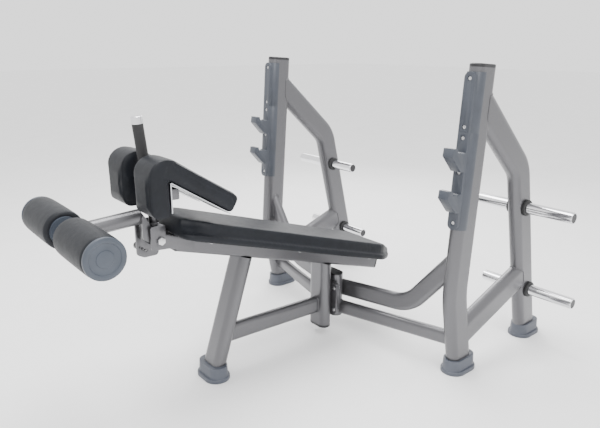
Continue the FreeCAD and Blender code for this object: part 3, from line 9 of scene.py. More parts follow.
import bmesh
import bpy
from mathutils import Matrix, Vector
from mathutils.bvhtree import BVHTree


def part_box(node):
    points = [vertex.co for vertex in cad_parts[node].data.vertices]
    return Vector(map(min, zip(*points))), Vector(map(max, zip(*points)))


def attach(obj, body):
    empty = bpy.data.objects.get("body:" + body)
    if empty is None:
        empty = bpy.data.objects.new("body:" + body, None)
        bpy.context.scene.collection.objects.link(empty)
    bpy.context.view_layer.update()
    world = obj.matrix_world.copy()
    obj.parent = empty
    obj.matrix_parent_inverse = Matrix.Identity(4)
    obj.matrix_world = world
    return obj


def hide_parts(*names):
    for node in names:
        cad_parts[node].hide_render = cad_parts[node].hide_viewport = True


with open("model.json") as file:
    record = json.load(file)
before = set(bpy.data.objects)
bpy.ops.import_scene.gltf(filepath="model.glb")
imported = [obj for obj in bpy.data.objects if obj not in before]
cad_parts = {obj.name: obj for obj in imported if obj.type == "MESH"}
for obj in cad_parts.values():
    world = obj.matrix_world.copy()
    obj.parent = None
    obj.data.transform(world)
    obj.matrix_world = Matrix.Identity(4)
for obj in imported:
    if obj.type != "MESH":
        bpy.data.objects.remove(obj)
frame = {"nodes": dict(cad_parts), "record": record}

LOG = logging.getLogger("decline_bench")
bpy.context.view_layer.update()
SIDES = (("left", 1.0), ("right", -1.0))


class Slot(Enum):
    """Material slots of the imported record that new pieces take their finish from."""

    PAINT = "frame_paint"
    # Darker copy of the frame paint; its darkness is painted shade for the shadowed gap between the
    # pivot cheeks.
    PAINTED_SHADE = "dark_paint"
    FOOT = "foot_plastic"
    COVER = "cover_plastic"
    BLACK = "black_plastic"
    RUBBER = "black_rubber"
    CHROME = "chrome"
    STEEL = "zinc_steel"
    BRONZE = "bronze"
    VINYL = "pad_vinyl"
    WOOD = "plywood"
    BOARD = "board_steel"
    FOAM = "roller_foam"
    ROLLER = "roller_plastic"


# ---------------------------------------------------------------- finishes
class NodeTree:
    """A small helper that adds and links shader nodes of one new material."""

    def __init__(self, name: str) -> None:
        """Starts an empty material with a Principled shader.

        Args:
            name: The material's name.
        """
        self.material = bpy.data.materials.new(name)
        self.material.use_nodes = True
        self.nodes = self.material.node_tree.nodes
        self.links = self.material.node_tree.links
        self.nodes.clear()
        self.output = self.nodes.new("ShaderNodeOutputMaterial")
        self.shader = self.nodes.new("ShaderNodeBsdfPrincipled")
        self.links.new(self.shader.outputs["BSDF"], self.output.inputs["Surface"])
        self.coordinates = self.nodes.new("ShaderNodeTexCoord").outputs["Object"]

    def set(self, **values: object) -> None:
        """Sets constants on the shader's own sockets; underscores stand for spaces."""
        for key, value in values.items():
            self.shader.inputs[key.replace("_", " ")].default_value = value

    def noise(self, scale: float, detail: float = 4.0, roughness: float = 0.55,
              stretch: Sequence[float] = (1.0, 1.0, 1.0)) -> bpy.types.NodeSocket:
        """Adds a noise texture on object coordinates.

        Args:
            scale: Noise scale.
            detail: Octaves of the noise.
            roughness: How strong the finer octaves are.
            stretch: Scale along each axis before the noise.

        Returns:
            The noise's factor socket.
        """
        mapping = self.nodes.new("ShaderNodeMapping")
        mapping.inputs["Scale"].default_value = stretch
        self.links.new(self.coordinates, mapping.inputs["Vector"])
        texture = self.nodes.new("ShaderNodeTexNoise")
        texture.inputs["Scale"].default_value = scale
        texture.inputs["Detail"].default_value = detail
        texture.inputs["Roughness"].default_value = roughness
        self.links.new(mapping.outputs["Vector"], texture.inputs["Vector"])
        return texture.outputs["Fac"]

    def cells(self, scale: float, feature: str = "DISTANCE_TO_EDGE") -> bpy.types.NodeSocket:
        """Adds a Voronoi texture on object coordinates and returns its distance socket."""
        texture = self.nodes.new("ShaderNodeTexVoronoi")
        texture.feature = feature
        texture.inputs["Scale"].default_value = scale
        self.links.new(self.coordinates, texture.inputs["Vector"])
        return texture.outputs["Distance"]

    def ramp(self, factor: bpy.types.NodeSocket,
             stops: Sequence[tuple[float, Sequence[float]]]) -> bpy.types.NodeSocket:
        """Maps a factor to colours.

        Args:
            factor: Socket that drives the ramp.
            stops: Position and RGB colour of each stop.

        Returns:
            The ramp's colour socket.
        """
        node = self.nodes.new("ShaderNodeValToRGB")
        elements = node.color_ramp.elements
        while len(elements) < len(stops):
            elements.new(0.5)
        for element, (position, colour) in zip(elements, stops):
            element.position = position
            element.color = (*colour, 1.0)
        self.links.new(factor, node.inputs["Fac"])
        return node.outputs["Color"]

    def span(self, factor: bpy.types.NodeSocket, low: float, high: float) -> bpy.types.NodeSocket:
        """Maps a 0 to 1 factor to the range from low to high."""
        node = self.nodes.new("ShaderNodeMapRange")
        node.inputs["To Min"].default_value = low
        node.inputs["To Max"].default_value = high
        self.links.new(factor, node.inputs["Value"])
        return node.outputs["Result"]

    def bump(self, height: bpy.types.NodeSocket, strength: float, distance: float,
             below: Optional[bpy.types.NodeSocket] = None) -> bpy.types.NodeSocket:
        """Adds a bump layer.

        Args:
            height: Height socket.
            strength: Bump strength.
            distance: Bump height in metres.
            below: Normal of the layer under this one.

        Returns:
            The bumped normal socket.
        """
        node = self.nodes.new("ShaderNodeBump")
        node.inputs["Strength"].default_value = strength
        node.inputs["Distance"].default_value = distance
        self.links.new(height, node.inputs["Height"])
        if below is not None:
            self.links.new(below, node.inputs["Normal"])
        return node.outputs["Normal"]

    def feed(self, socket: bpy.types.NodeSocket, name: str) -> None:
        """Links a socket to the shader's input of that name."""
        self.links.new(socket, self.shader.inputs[name])


@dataclass(frozen=True)
class MetallicPaint:
    """Powder coat with fine metal flake, slightly uneven, as on gym frames."""

    name: str = "metallic_frame_paint"
    colour: tuple[float, float, float] = (0.118, 0.117, 0.124)
    flake: float = 0.18
    roughness: float = 0.34

    def build(self) -> bpy.types.Material:
        """Makes the material."""
        tree = NodeTree(self.name)
        low = tuple(c * (1.0 - self.flake) for c in self.colour)
        high = tuple(min(1.0, c * (1.0 + self.flake)) for c in self.colour)
        flakes = tree.noise(1500.0, 2.0, 0.7)
        tree.feed(tree.ramp(flakes, ((0.35, low), (0.65, high))), "Base Color")
        tree.feed(tree.span(tree.noise(9.0, 3.0), self.roughness - 0.05, self.roughness + 0.07),
                  "Roughness")
        peel = tree.bump(tree.noise(420.0, 2.0), 0.12, 0.0004)
        tree.feed(tree.bump(tree.noise(1800.0, 1.0), 0.10, 0.0002, peel), "Normal")
        tree.set(Metallic=0.72, Coat_Weight=0.35, Coat_Roughness=0.22)
        return tree.material


@dataclass(frozen=True)
class Moulded:
    """Moulded plastic or rubber with a spark-eroded grain and faint flow marks."""

    name: str
    colour: tuple[float, float, float]
    roughness: float = 0.5
    grain: float = 0.25
    grain_scale: float = 900.0
    specular: float = 0.5

    def build(self) -> bpy.types.Material:
        """Makes the material."""
        tree = NodeTree(self.name)
        low = tuple(c * 0.88 for c in self.colour)
        high = tuple(min(1.0, c * 1.12) for c in self.colour)
        tree.feed(tree.ramp(tree.noise(14.0, 5.0), ((0.3, low), (0.7, high))), "Base Color")
        tree.feed(tree.span(tree.noise(60.0, 3.0), self.roughness - 0.06, self.roughness + 0.08),
                  "Roughness")
        flow = tree.bump(tree.noise(30.0, 2.0), 0.05, 0.0008)
        tree.feed(tree.bump(tree.noise(self.grain_scale, 3.0), self.grain, 0.0002, flow), "Normal")
        tree.set(Metallic=0.0, Specular_IOR_Level=self.specular)
        return tree.material


@dataclass(frozen=True)
class Vinyl:
    """Upholstery vinyl: leather-like pebble grain over a soft, slightly uneven sheet."""

    name: str
    colour: tuple[float, float, float]
    roughness: float = 0.46
    pebble: float = 520.0

    def build(self) -> bpy.types.Material:
        """Makes the material."""
        tree = NodeTree(self.name)
        low = tuple(c * 0.82 for c in self.colour)
        high = tuple(min(1.0, c * 1.18) for c in self.colour)
        tree.feed(tree.ramp(tree.noise(26.0, 6.0), ((0.3, low), (0.7, high))), "Base Color")
        tree.feed(tree.span(tree.noise(40.0, 4.0), self.roughness - 0.06, self.roughness + 0.09),
                  "Roughness")
        soft = tree.bump(tree.noise(18.0, 2.0), 0.10, 0.003)
        pebbles = tree.bump(tree.cells(self.pebble), 0.30, 0.0004, soft)
        tree.feed(tree.bump(tree.noise(1600.0, 2.0), 0.12, 0.0002, pebbles), "Normal")
        tree.set(Metallic=0.0, Specular_IOR_Level=0.22, Sheen_Weight=0.02, Sheen_Roughness=0.4)
        return tree.material


@dataclass(frozen=True)
class FoamSkin:
    """Closed-cell foam with a dull skin and small pores."""

    name: str = "roller_foam_skin"
    colour: tuple[float, float, float] = (0.0085, 0.0095, 0.012)

    def build(self) -> bpy.types.Material:
        """Makes the material."""
        tree = NodeTree(self.name)
        high = tuple(c * 1.5 for c in self.colour)
        tree.feed(tree.ramp(tree.noise(90.0, 6.0), ((0.3, self.colour), (0.7, high))), "Base Color")
        tree.feed(tree.span(tree.noise(50.0, 4.0), 0.44, 0.60), "Roughness")
        pores = tree.bump(tree.cells(760.0, "F1"), 0.22, 0.0005)
        tree.feed(tree.bump(tree.noise(35.0, 3.0), 0.10, 0.0015, pores), "Normal")
        tree.set(Metallic=0.0, Specular_IOR_Level=0.22, Sheen_Weight=0.015)
        return tree.material


@dataclass(frozen=True)
class Metal:
    """Bare or plated metal; drawn marks run along the axis with the smallest stretch."""

    name: str
    colour: tuple[float, float, float]
    roughness: float
    marks: float = 0.05
    stretch: tuple[float, float, float] = (1.0, 1.0, 1.0)
    scale: float = 300.0

    def build(self) -> bpy.types.Material:
        """Makes the material."""
        tree = NodeTree(self.name)
        low = tuple(c * 0.90 for c in self.colour)
        tree.feed(tree.ramp(tree.noise(12.0, 4.0), ((0.35, low), (0.65, self.colour))),
                  "Base Color")
        brushed = tree.noise(self.scale, 3.0, 0.6, self.stretch)
        tree.feed(tree.span(brushed, max(0.02, self.roughness - 0.04), self.roughness + 0.06),
                  "Roughness")
        tree.feed(tree.bump(brushed, self.marks, 0.0002), "Normal")
        tree.set(Metallic=1.0)
        return tree.material


@dataclass(frozen=True)
class Plywood:
    """Black-stained plywood board with long grain."""

    name: str = "black_stained_plywood"

    def build(self) -> bpy.types.Material:
        """Makes the material."""
        tree = NodeTree(self.name)
        grain = tree.noise(30.0, 6.0, 0.6, (1.0, 14.0, 14.0))
        tree.feed(tree.ramp(grain, ((0.3, (0.012, 0.011, 0.010)), (0.7, (0.05, 0.045, 0.04)))),
                  "Base Color")
        tree.feed(tree.span(grain, 0.6, 0.8), "Roughness")
        tree.feed(tree.bump(grain, 0.25, 0.0005), "Normal")
        return tree.material


class Finishes:
    """Builds each finish once and hands it out by slot."""

    def __init__(self) -> None:
        """Makes every material of the object."""
        self.by_slot: dict[Slot, bpy.types.Material] = {
            Slot.PAINT: MetallicPaint().build(),
            # The frame paint made about three times darker: painted shade for the shadowed gap
            # between the pivot cheeks.
            Slot.PAINTED_SHADE: MetallicPaint("painted_shade_block_paint", (0.035, 0.035, 0.038)).build(),
            Slot.FOOT: Moulded("boot_plastic", (0.068, 0.076, 0.096), 0.40, 0.20).build(),
            Slot.COVER: Moulded("hook_cover_plastic", (0.045, 0.051, 0.064), 0.36, 0.18).build(),
            Slot.BLACK: Moulded("black_cap_plastic", (0.012, 0.012, 0.014), 0.38, 0.15).build(),
            Slot.RUBBER: Moulded("black_rubber", (0.014, 0.014, 0.015), 0.62, 0.35, 500.0).build(),
            Slot.CHROME: Metal("plated_chrome", (0.80, 0.80, 0.82), 0.10, 0.03,
                               (1.0, 0.04, 1.0)).build(),
            Slot.STEEL: Metal("zinc_plated_steel", (0.66, 0.66, 0.67), 0.26, 0.10).build(),
            Slot.BRONZE: Metal("sintered_bronze", (0.55, 0.38, 0.20), 0.42, 0.20).build(),
            Slot.VINYL: Vinyl("pad_vinyl_black", (0.0075, 0.0088, 0.012)).build(),
            Slot.WOOD: Plywood().build(),
            Slot.BOARD: Metal("bright_board_steel", (0.60, 0.61, 0.63), 0.30, 0.12).build(),
            Slot.FOAM: FoamSkin().build(),
            Slot.ROLLER: Moulded("roller_cap_plastic", (0.048, 0.058, 0.076), 0.38, 0.15).build(),
        }

    def __getitem__(self, slot: Slot) -> bpy.types.Material:
        """Returns the material of a slot."""
        return self.by_slot[slot]

    def dress_frame(self) -> None:
        """Gives every visible CAD node the material of its slot."""
        slots = {entry["node"]: Slot(entry["material_slot"])
                 for entry in frame["record"]["subparts"]}
        for node, piece in frame["nodes"].items():
            material = self[slots[node]]
            if not piece.material_slots:
                piece.data.materials.append(material)
            for place in piece.material_slots:
                place.material = material


# ---------------------------------------------------------------- mesh workshop
@dataclass
class Workshop:
    """Turns bmeshes into finished pieces that ride on a body."""

    finishes: Finishes
    made: list[str] = field(default_factory=list)

    def piece(self, name: str, mesh: bmesh.types.BMesh, body: str, slot: Slot,
              replaces: Iterable[str] = (), sharp_degrees: float = 38.0) -> bpy.types.Object:
        """Makes an object from a bmesh, dresses it and lets it ride on its body.

        Args:
            name: Name of the piece.
            mesh: Its shape, in metres in the frame's coordinates; it is freed.
            body: CAD body that it moves with.
            slot: Slot of its finish.
            replaces: CAD nodes that it stands for.
            sharp_degrees: Edges that turn more than this stay sharp in shading.

        Returns:
            The new object.
        """
        bmesh.ops.recalc_face_normals(mesh, faces=mesh.faces)
        data = bpy.data.meshes.new(name)
        mesh.to_mesh(data)
        mesh.free()
        return self.adopt(name, data, body, slot, replaces, sharp_degrees)

    def adopt(self, name: str, data: bpy.types.Mesh, body: str, slot: Slot,
              replaces: Iterable[str] = (), sharp_degrees: float = 38.0) -> bpy.types.Object:
        """Makes an object from mesh data, dresses it and lets it ride; see piece."""
        data.shade_smooth()
        data.set_sharp_from_angle(angle=math.radians(sharp_degrees))
        data.materials.clear()
        data.materials.append(self.finishes[slot])
        item = bpy.data.objects.new(name, data)
        bpy.context.scene.collection.objects.link(item)
        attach(item, body)
        replaced = list(replaces)
        if replaced:
            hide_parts(*replaced)
        self.made.append(name)
        LOG.info("%s rides on %s with %d faces", name, body, len(data.polygons))
        return item


def loft(mesh: bmesh.types.BMesh, rings: Sequence[Sequence[Vector]], closed_ends: bool = True,
         loop: bool = False) -> None:
    """Skins a row of point rings with bridge loops.

    Args:
        mesh: Mesh that the skin is added to.
        rings: Rings of points, all of the same count.
        closed_ends: Whether the first and last rings are filled.
        loop: Whether the last ring is joined back to the first.
    """
    loops = []
    for ring in rings:
        points = [mesh.verts.new(point) for point in ring]
        loops.append([mesh.edges.new((a, b)) for a, b in zip(points, points[1:] + points[:1])])
    pairs = list(zip(loops, loops[1:]))
    if loop:
        pairs.append((loops[-1], loops[0]))
    for first, second in pairs:
        bmesh.ops.bridge_loops(mesh, edges=first + second)
    if closed_ends and not loop:
        bmesh.ops.contextual_create(mesh, geom=loops[0])
        bmesh.ops.contextual_create(mesh, geom=loops[-1])


def spun(mesh: bmesh.types.BMesh, profile: Sequence[tuple[float, float]], centre: Vector,
         axis: Vector, steps: int = 64) -> None:
    """Turns a closed profile about an axis with the spin operator.

    Args:
        mesh: Mesh that the ring is added to.
        profile: Distance along the axis and radius of each point, as a closed outline.
        centre: Point on the axis where the distance is zero.
        axis: Direction of the axis.
        steps: Steps in the full turn.
    """
    unit = axis.normalized()
    out = unit.orthogonal().normalized()
    points = [mesh.verts.new(centre + unit * along + out * radius) for along, radius in profile]
    edges = [mesh.edges.new((a, b)) for a, b in zip(points, points[1:] + points[:1])]
    bmesh.ops.spin(mesh, geom=points + edges, cent=centre, axis=unit, angle=2 * math.pi,
                   steps=steps, use_merge=True)
    bmesh.ops.remove_doubles(mesh, verts=mesh.verts, dist=1e-6)


def bevel_edges(mesh: bmesh.types.BMesh, edges: Sequence[bmesh.types.BMEdge], offset: float,
                segments: int = 3) -> None:
    """Rounds edges with the bevel operator."""
    bmesh.ops.bevel(mesh, geom=list(edges), offset=offset, segments=segments, profile=0.5,
                    affect="EDGES", clamp_overlap=True, material=-1)


def node_box(node: str) -> tuple[Vector, Vector]:
    """Lowest and highest corner of a CAD node."""
    low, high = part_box(node)
    return Vector(low), Vector(high)


# ---------------------------------------------------------------- studio
@dataclass
class Studio:
    """Pale floor, soft lamps and the camera."""

    origin_shift: float = 0.4115
    eye: tuple[float, float, float] = (-1.92057, -1.85611, 1.31358)
    yaw: float = 0.876935
    pitch: float = -0.283894
    roll: float = 0.005213
    focal_ratio: float = 580.835 / 600.0
    sensor: float = 36.0

    def build(self) -> None:
        """Adds the floor, the lamps, the sky and the camera."""
        self.add_floor()
        self.add_lamps()
        self.add_camera()

    def add_floor(self) -> None:
        """Adds a wide pale floor."""
        mesh = bmesh.new()
        bmesh.ops.create_grid(mesh, x_segments=1, y_segments=1, size=30.0)
        data = bpy.data.meshes.new("studio_floor")
        mesh.to_mesh(data)
        mesh.free()
        tree = NodeTree("studio_floor_paper")
        tree.feed(tree.ramp(tree.noise(3.0), ((0.3, (0.93, 0.93, 0.93)),
                                              (0.7, (0.96, 0.96, 0.96)))),
                  "Base Color")
        tree.set(Roughness=0.75, Specular_IOR_Level=0.2)
        data.materials.append(tree.material)
        floor = bpy.data.objects.new("studio_floor", data)
        bpy.context.scene.collection.objects.link(floor)

    def add_lamps(self) -> None:
        """Adds a large key, a fill, a rim lamp and a bright even sky."""
        lamps = (("key", (-1.2, -3.0, 3.2), 1.8, 70.0), ("top", (0.0, 0.4, 3.4), 2.0, 130.0),
                 ("rim", (2.4, 2.0, 2.2), 1.6, 55.0))
        for name, place, size, power in lamps:
            data = bpy.data.lights.new(f"{name}_lamp", "AREA")
            data.shape = "SQUARE"
            data.size = size
            data.energy = power
            lamp = bpy.data.objects.new(f"{name}_lamp", data)
            lamp.location = place
            aim = Vector((0.0, 0.0, 0.5)) - Vector(place)
            lamp.rotation_euler = aim.to_track_quat("-Z", "Y").to_euler()
            bpy.context.scene.collection.objects.link(lamp)
        world = bpy.data.worlds.new("white_sky")
        world.use_nodes = True
        background = world.node_tree.nodes["Background"]
        background.inputs["Color"].default_value = (1.0, 1.0, 1.0, 1.0)
        background.inputs["Strength"].default_value = 1.7
        bpy.context.scene.world = world

    def add_camera(self) -> None:
        """Adds the camera from its eye point and its three angles."""
        ahead = Vector((math.cos(self.pitch) * math.cos(self.yaw),
                        math.cos(self.pitch) * math.sin(self.yaw), math.sin(self.pitch)))
        right = ahead.cross(Vector((0, 0, 1))).normalized()
        up = right.cross(ahead)
        cosine, sine = math.cos(self.roll), math.sin(self.roll)
        right, up = cosine * right + sine * up, cosine * up - sine * right
        turn = Matrix((right, up, -ahead)).transposed()
        data = bpy.data.cameras.new("main_camera")
        data.sensor_width = self.sensor
        data.lens = self.focal_ratio * self.sensor
        camera = bpy.data.objects.new("main_camera", data)
        place = Vector(self.eye) + Vector((self.origin_shift, 0, 0))
        camera.matrix_world = Matrix.Translation(place) @ turn.to_4x4()
        bpy.context.scene.collection.objects.link(camera)
        bpy.context.scene.camera = camera


# ---------------------------------------------------------------- cushions
@dataclass
class Puff:
    """Cloth inflation that turns a plain closed form into a filled cushion."""

    voxel: float = 0.006
    pressure: float = 4.0
    frames: int = 20
    cap: float = 0.006
    stretch: float = 18.0
    bending: float = 0.6
    quick_coarser: float = 1.5

    def run(self, mesh: bmesh.types.BMesh, name: str) -> bpy.types.Mesh:
        """Inflates a closed bmesh.

        Args:
            mesh: Start shape; it is freed.
            name: Name of the resulting mesh.

        Returns:
            The inflated mesh, with one level of subdivision.
        """
        bmesh.ops.recalc_face_normals(mesh, faces=mesh.faces)
        data = bpy.data.meshes.new(name)
        mesh.to_mesh(data)
        mesh.free()
        work = bpy.data.objects.new(f"{name}_work", data)
        scene = bpy.context.scene
        scene.collection.objects.link(work)
        remesh = work.modifiers.new("remesh", "REMESH")
        remesh.mode = "VOXEL"
        remesh.voxel_size = self.voxel * 1.0
        rest = self.baked(work, name)
        work.modifiers.clear()
        work.data = rest
        start = [vertex.co.copy() for vertex in rest.vertices]
        cloth = work.modifiers.new("cloth", "CLOTH")
        cloth.settings.use_pressure = True
        cloth.settings.uniform_pressure_force = self.pressure
        cloth.settings.effector_weights.gravity = 0.0
        cloth.settings.tension_stiffness = self.stretch
        cloth.settings.compression_stiffness = self.stretch
        cloth.settings.bending_stiffness = self.bending
        cloth.point_cache.frame_start = 1
        cloth.point_cache.frame_end = self.frames
        for number in range(1, self.frames + 1):
            scene.frame_set(number)
        result = self.baked(work, name)
        work.modifiers.clear()
        for vertex, origin in zip(result.vertices, start):
            move = vertex.co - origin
            if move.length > self.cap:
                vertex.co = origin + move.normalized() * self.cap
        scene.frame_set(1)
        work.data = result
        subdivision = work.modifiers.new("finer", "SUBSURF")
        subdivision.levels = subdivision.render_levels = 1
        finished = self.baked(work, name)
        bpy.data.objects.remove(work)
        return finished

    @staticmethod
    def baked(work: bpy.types.Object, name: str) -> bpy.types.Mesh:
        """Returns a copy of an object's mesh with its modifiers applied."""
        graph = bpy.context.evaluated_depsgraph_get()
        graph.update()
        return bpy.data.meshes.new_from_object(work.evaluated_get(graph))


@dataclass
class BenchCushion:
    """Two-tier bench pad with scooped foot corners and a narrowing head end."""

    shop: Workshop
    slope: float = math.radians(17.1)
    reference: tuple[float, float, float] = (-0.0885, 0.0, 0.581)
    foot_end: float = -0.530
    head_end: float = 0.682
    half_width: float = 0.147
    tier_half_width: float = 0.168
    tier_top: float = -0.047
    thick: float = 0.072
    corner: float = 0.045
    taper: float = 0.150
    head_half: float = 0.062
    slack: float = 0.004
    facet_start: float = 0.560
    facet_drop: float = 0.026
    scoop_start: float = -0.395
    scoop_depth: float = 0.026
    scoop_run: float = 0.09
    scoop_lead: float = 0.02
    tier_grow: float = 0.012
    lip: float = 0.009
    least_width: float = 0.002
    taper_power: float = 1.35
    tip_start: float = 0.86
    tip_round: float = 0.98
    stations: int = 56
    top_gap: float = 0.004

    def place(self) -> Matrix:
        """Placement of the pad's own frame: along, across, up from its top."""
        return Matrix.Translation(Vector(self.reference)) @ Matrix.Rotation(self.slope, 4, "Y")

    def half_width_at(self, along: float, half: float, grow: float) -> float:
        """Half width of the plan outline at a place along the pad.

        Args:
            along: Place along the pad.
            half: Half width of the straight part.
            grow: How much the head end is wider than the upper tier's.

        Returns:
            Half width there.
        """
        foot = self.foot_end
        if along < foot + self.corner:
            run = (foot + self.corner - along) / self.corner
            return half - self.corner + self.corner * math.sqrt(max(0.0, 1 - run * run))
        start = self.head_end - self.taper
        if along <= start:
            return half
        share = (along - start) / self.taper
        tip = self.head_half + grow
        eased = half + (tip - half) * (share ** self.taper_power)
        if share > self.tip_start:
            rest = (share - self.tip_start) / (1 - self.tip_start)
            eased *= math.sqrt(max(0.0, 1 - rest * rest * self.tip_round))
        return eased

    def outline(self, half: float, grow: float, inset: float, height: Callable[[float], float],
                scoop: bool = False) -> list[Vector]:
        """Closed plan outline at a height that may vary along the pad."""
        steps = self.stations
        first, last = self.foot_end + inset, self.head_end - inset
        stations = [first + (last - first) * (0.5 - 0.5 * math.cos(math.pi * i / steps))
                    for i in range(steps + 1)]
        upper, lower = [], []
        for along in stations:
            share = (along - first) / (last - first)
            source = self.foot_end + share * (self.head_end - self.foot_end)
            width = max(self.half_width_at(source, half, grow) - inset, self.least_width)
            if scoop and along < self.scoop_start:
                run = min(1.0, (self.scoop_start - along) / self.scoop_run)
                width -= self.scoop_depth * (3 * run * run - 2 * run ** 3) * min(
                    1.0, (along - first) / self.scoop_lead + 0.35)
                width = max(width, self.least_width)
            upper.append(Vector((along, width, height(along))))
            lower.append(Vector((along, -width, height(along))))
        place = self.place()
        return [place @ point for point in upper + lower[::-1]]

    def top_height(self, along: float) -> float:
        """Height of the pad's top: flat, then a facet that falls to the head end."""
        if along < self.facet_start:
            return -self.slack
        share = (along - self.facet_start) / (self.head_end - self.facet_start)
        return -self.slack - self.facet_drop * share

    def build(self) -> None:
        """Builds both tiers and puffs them up."""
        mesh = bmesh.new()
        ledge = self.tier_top

        def level(value: float) -> Callable[[float], float]:
            return lambda along: min(value, self.top_height(along) - self.top_gap)

        rings = [
            self.outline(self.tier_half_width, self.tier_grow, 0.006,
                         lambda a: -self.thick + 0.001),
            self.outline(self.tier_half_width, self.tier_grow, 0.003,
                         lambda a: -self.thick + 0.005),
            self.outline(self.tier_half_width, self.tier_grow, 0.003, level(ledge - 0.006)),
            self.outline(self.tier_half_width, self.tier_grow, 0.006, level(ledge - 0.001)),
            self.outline(self.half_width, 0.0, 0.001, level(ledge)),
            self.outline(self.half_width, 0.0, 0.003, level(-0.020), True),
            self.outline(self.half_width, 0.0, 0.004, level(-self.lip), True),
            self.outline(self.half_width, 0.0, 0.009, self.top_height, True),
            self.outline(self.half_width, 0.0, 0.040, self.top_height, True),
        ]
        loft(mesh, rings)
        bmesh.ops.triangulate(mesh, faces=[f for f in mesh.faces if len(f.verts) > 4])
        data = Puff(voxel=0.006, cap=0.0028).run(mesh, "bench_cushion")
        cushion = self.shop.adopt("bench_cushion", data, "frame", Slot.VINYL, ("bench_pad",), 70.0)


@dataclass
class ThighCushions:
    """Two bent thigh pads, rounded over the knee, with a seam round each side face."""

    shop: Workshop
    board: tuple[float, float] = (-0.6515, 0.772)
    knee_z: float = 0.874
    end_x: float = -0.4205
    slope: float = math.radians(32.5)
    start: float = 0.0043
    thick: float = 0.081
    slope_share: float = 74.0 / 81.0
    drop: float = 0.016
    sides: tuple[float, float] = (0.044, 0.172)
    front_corner: float = 0.052
    knee: float = 0.070
    tail_corner: float = 0.018
    edge: float = 0.012
    seam_share: float = 0.3
    seam_step: float = 0.006
    seam_sink: float = 0.0002
    seam_radius: float = 0.0014
    inset: float = 0.0028

    def profile(self) -> list[Vector]:
        """Outline of the side face as sharp corners in X and Z, from the board round."""
        along = Vector((math.cos(self.slope), 0, -math.sin(self.slope)))
        out = Vector((math.sin(self.slope), 0, math.cos(self.slope)))
        low = Vector((self.board[0], 0, self.board[1] - self.drop))
        knee = Vector((self.board[0], 0, self.knee_z))
        tail = knee + along * ((self.end_x - knee.x) / along.x)

        def corner(distance: float) -> Vector:
            """Crossing of the front line and the slope line at one distance."""
            foot = knee + out * distance * self.slope_share
            return foot + along * ((knee.x - distance - foot.x) / along.x)

        near, far = self.start * self.slope_share, self.thick * self.slope_share
        return [low - Vector((self.start, 0, 0)), corner(self.start), tail + out * near,
                tail + out * far, corner(self.thick), low - Vector((self.thick, 0, 0))]

    def build(self) -> None:
        """Builds and puffs both pads."""
        radii = (0.014, 0.004, 0.010, self.tail_corner, self.knee, self.front_corner)
        outline = rounded(self.profile(), radii, self.inset)
        for side, sign in SIDES:
            near, far = sorted(sign * value for value in self.sides)
            mesh = bmesh.new()
            ring = [mesh.verts.new(Vector((p.x, near + self.inset, p.z))) for p in outline]
            face = mesh.faces.new(ring)
            grown = bmesh.ops.extrude_face_region(mesh, geom=[face])
            moved = [v for v in grown["geom"] if isinstance(v, bmesh.types.BMVert)]
            bmesh.ops.translate(mesh, verts=moved, vec=Vector((0, far - near - 2 * self.inset, 0)))
            rims = [e for e in mesh.edges if abs(e.verts[0].co.y - e.verts[1].co.y) < 1e-6]
            bevel_edges(mesh, rims, self.edge, 4)
            data = Puff(voxel=0.005, pressure=3.0, cap=0.0028).run(mesh, f"thigh_cushion_{side}")
            pad = self.shop.adopt(f"thigh_cushion_{side}", data, "frame", Slot.VINYL,
                                  (f"thigh_pad_{side}",), 70.0)
            self.seams(side, data, (near, far))

    def seams(self, side: str, cushion: bpy.types.Mesh, faces: Sequence[float]) -> None:
        """Adds the raised seam round both side faces, laid onto the puffed surface.

        Args:
            side: Name of the side.
            cushion: The puffed cushion.
            faces: Y of the two side faces.
        """
        shape = bmesh.new()
        shape.from_mesh(cushion)
        tree = BVHTree.FromBMesh(shape)
        mesh = bmesh.new()
        radii = (0.014, 0.004, 0.010, self.tail_corner, self.knee, self.front_corner)
        drawn_in = self.inset + self.edge * self.seam_share
        path = resampled(rounded(self.profile(), radii, drawn_in), self.seam_step)
        middle = sum(faces) / 2
        for face in faces:
            way = math.copysign(1.0, face - middle)
            laid = []
            for point in path[:-1]:
                guess = Vector((point.x, face - way * drawn_in, point.z))
                spot, normal, _, _ = tree.find_nearest(guess)
                laid.append(spot - normal * self.seam_sink)
            piping(mesh, laid, self.seam_radius)
        shape.free()
        self.shop.piece(f"thigh_seam_{side}", mesh, "frame", Slot.VINYL, (), 80.0)


def piping(mesh: bmesh.types.BMesh, path: Sequence[Vector], radius: float, sides: int = 8) -> None:
    """Adds a round cord along a closed path.

    Args:
        mesh: Mesh that the cord is added to.
        path: Points of the closed path.
        radius: Radius of the cord.
        sides: Points round the cord.
    """
    rings = []
    across = (path[1] - path[0]).orthogonal().normalized()
    for index, point in enumerate(path):
        along = (path[(index + 1) % len(path)] - path[index - 1]).normalized()
        across = (across - along * across.dot(along)).normalized()
        other = along.cross(across)
        rings.append([point + (across * math.cos(a) + other * math.sin(a)) * radius
                      for a in (2 * math.pi * k / sides for k in range(sides))])
    loft(mesh, rings, loop=True)


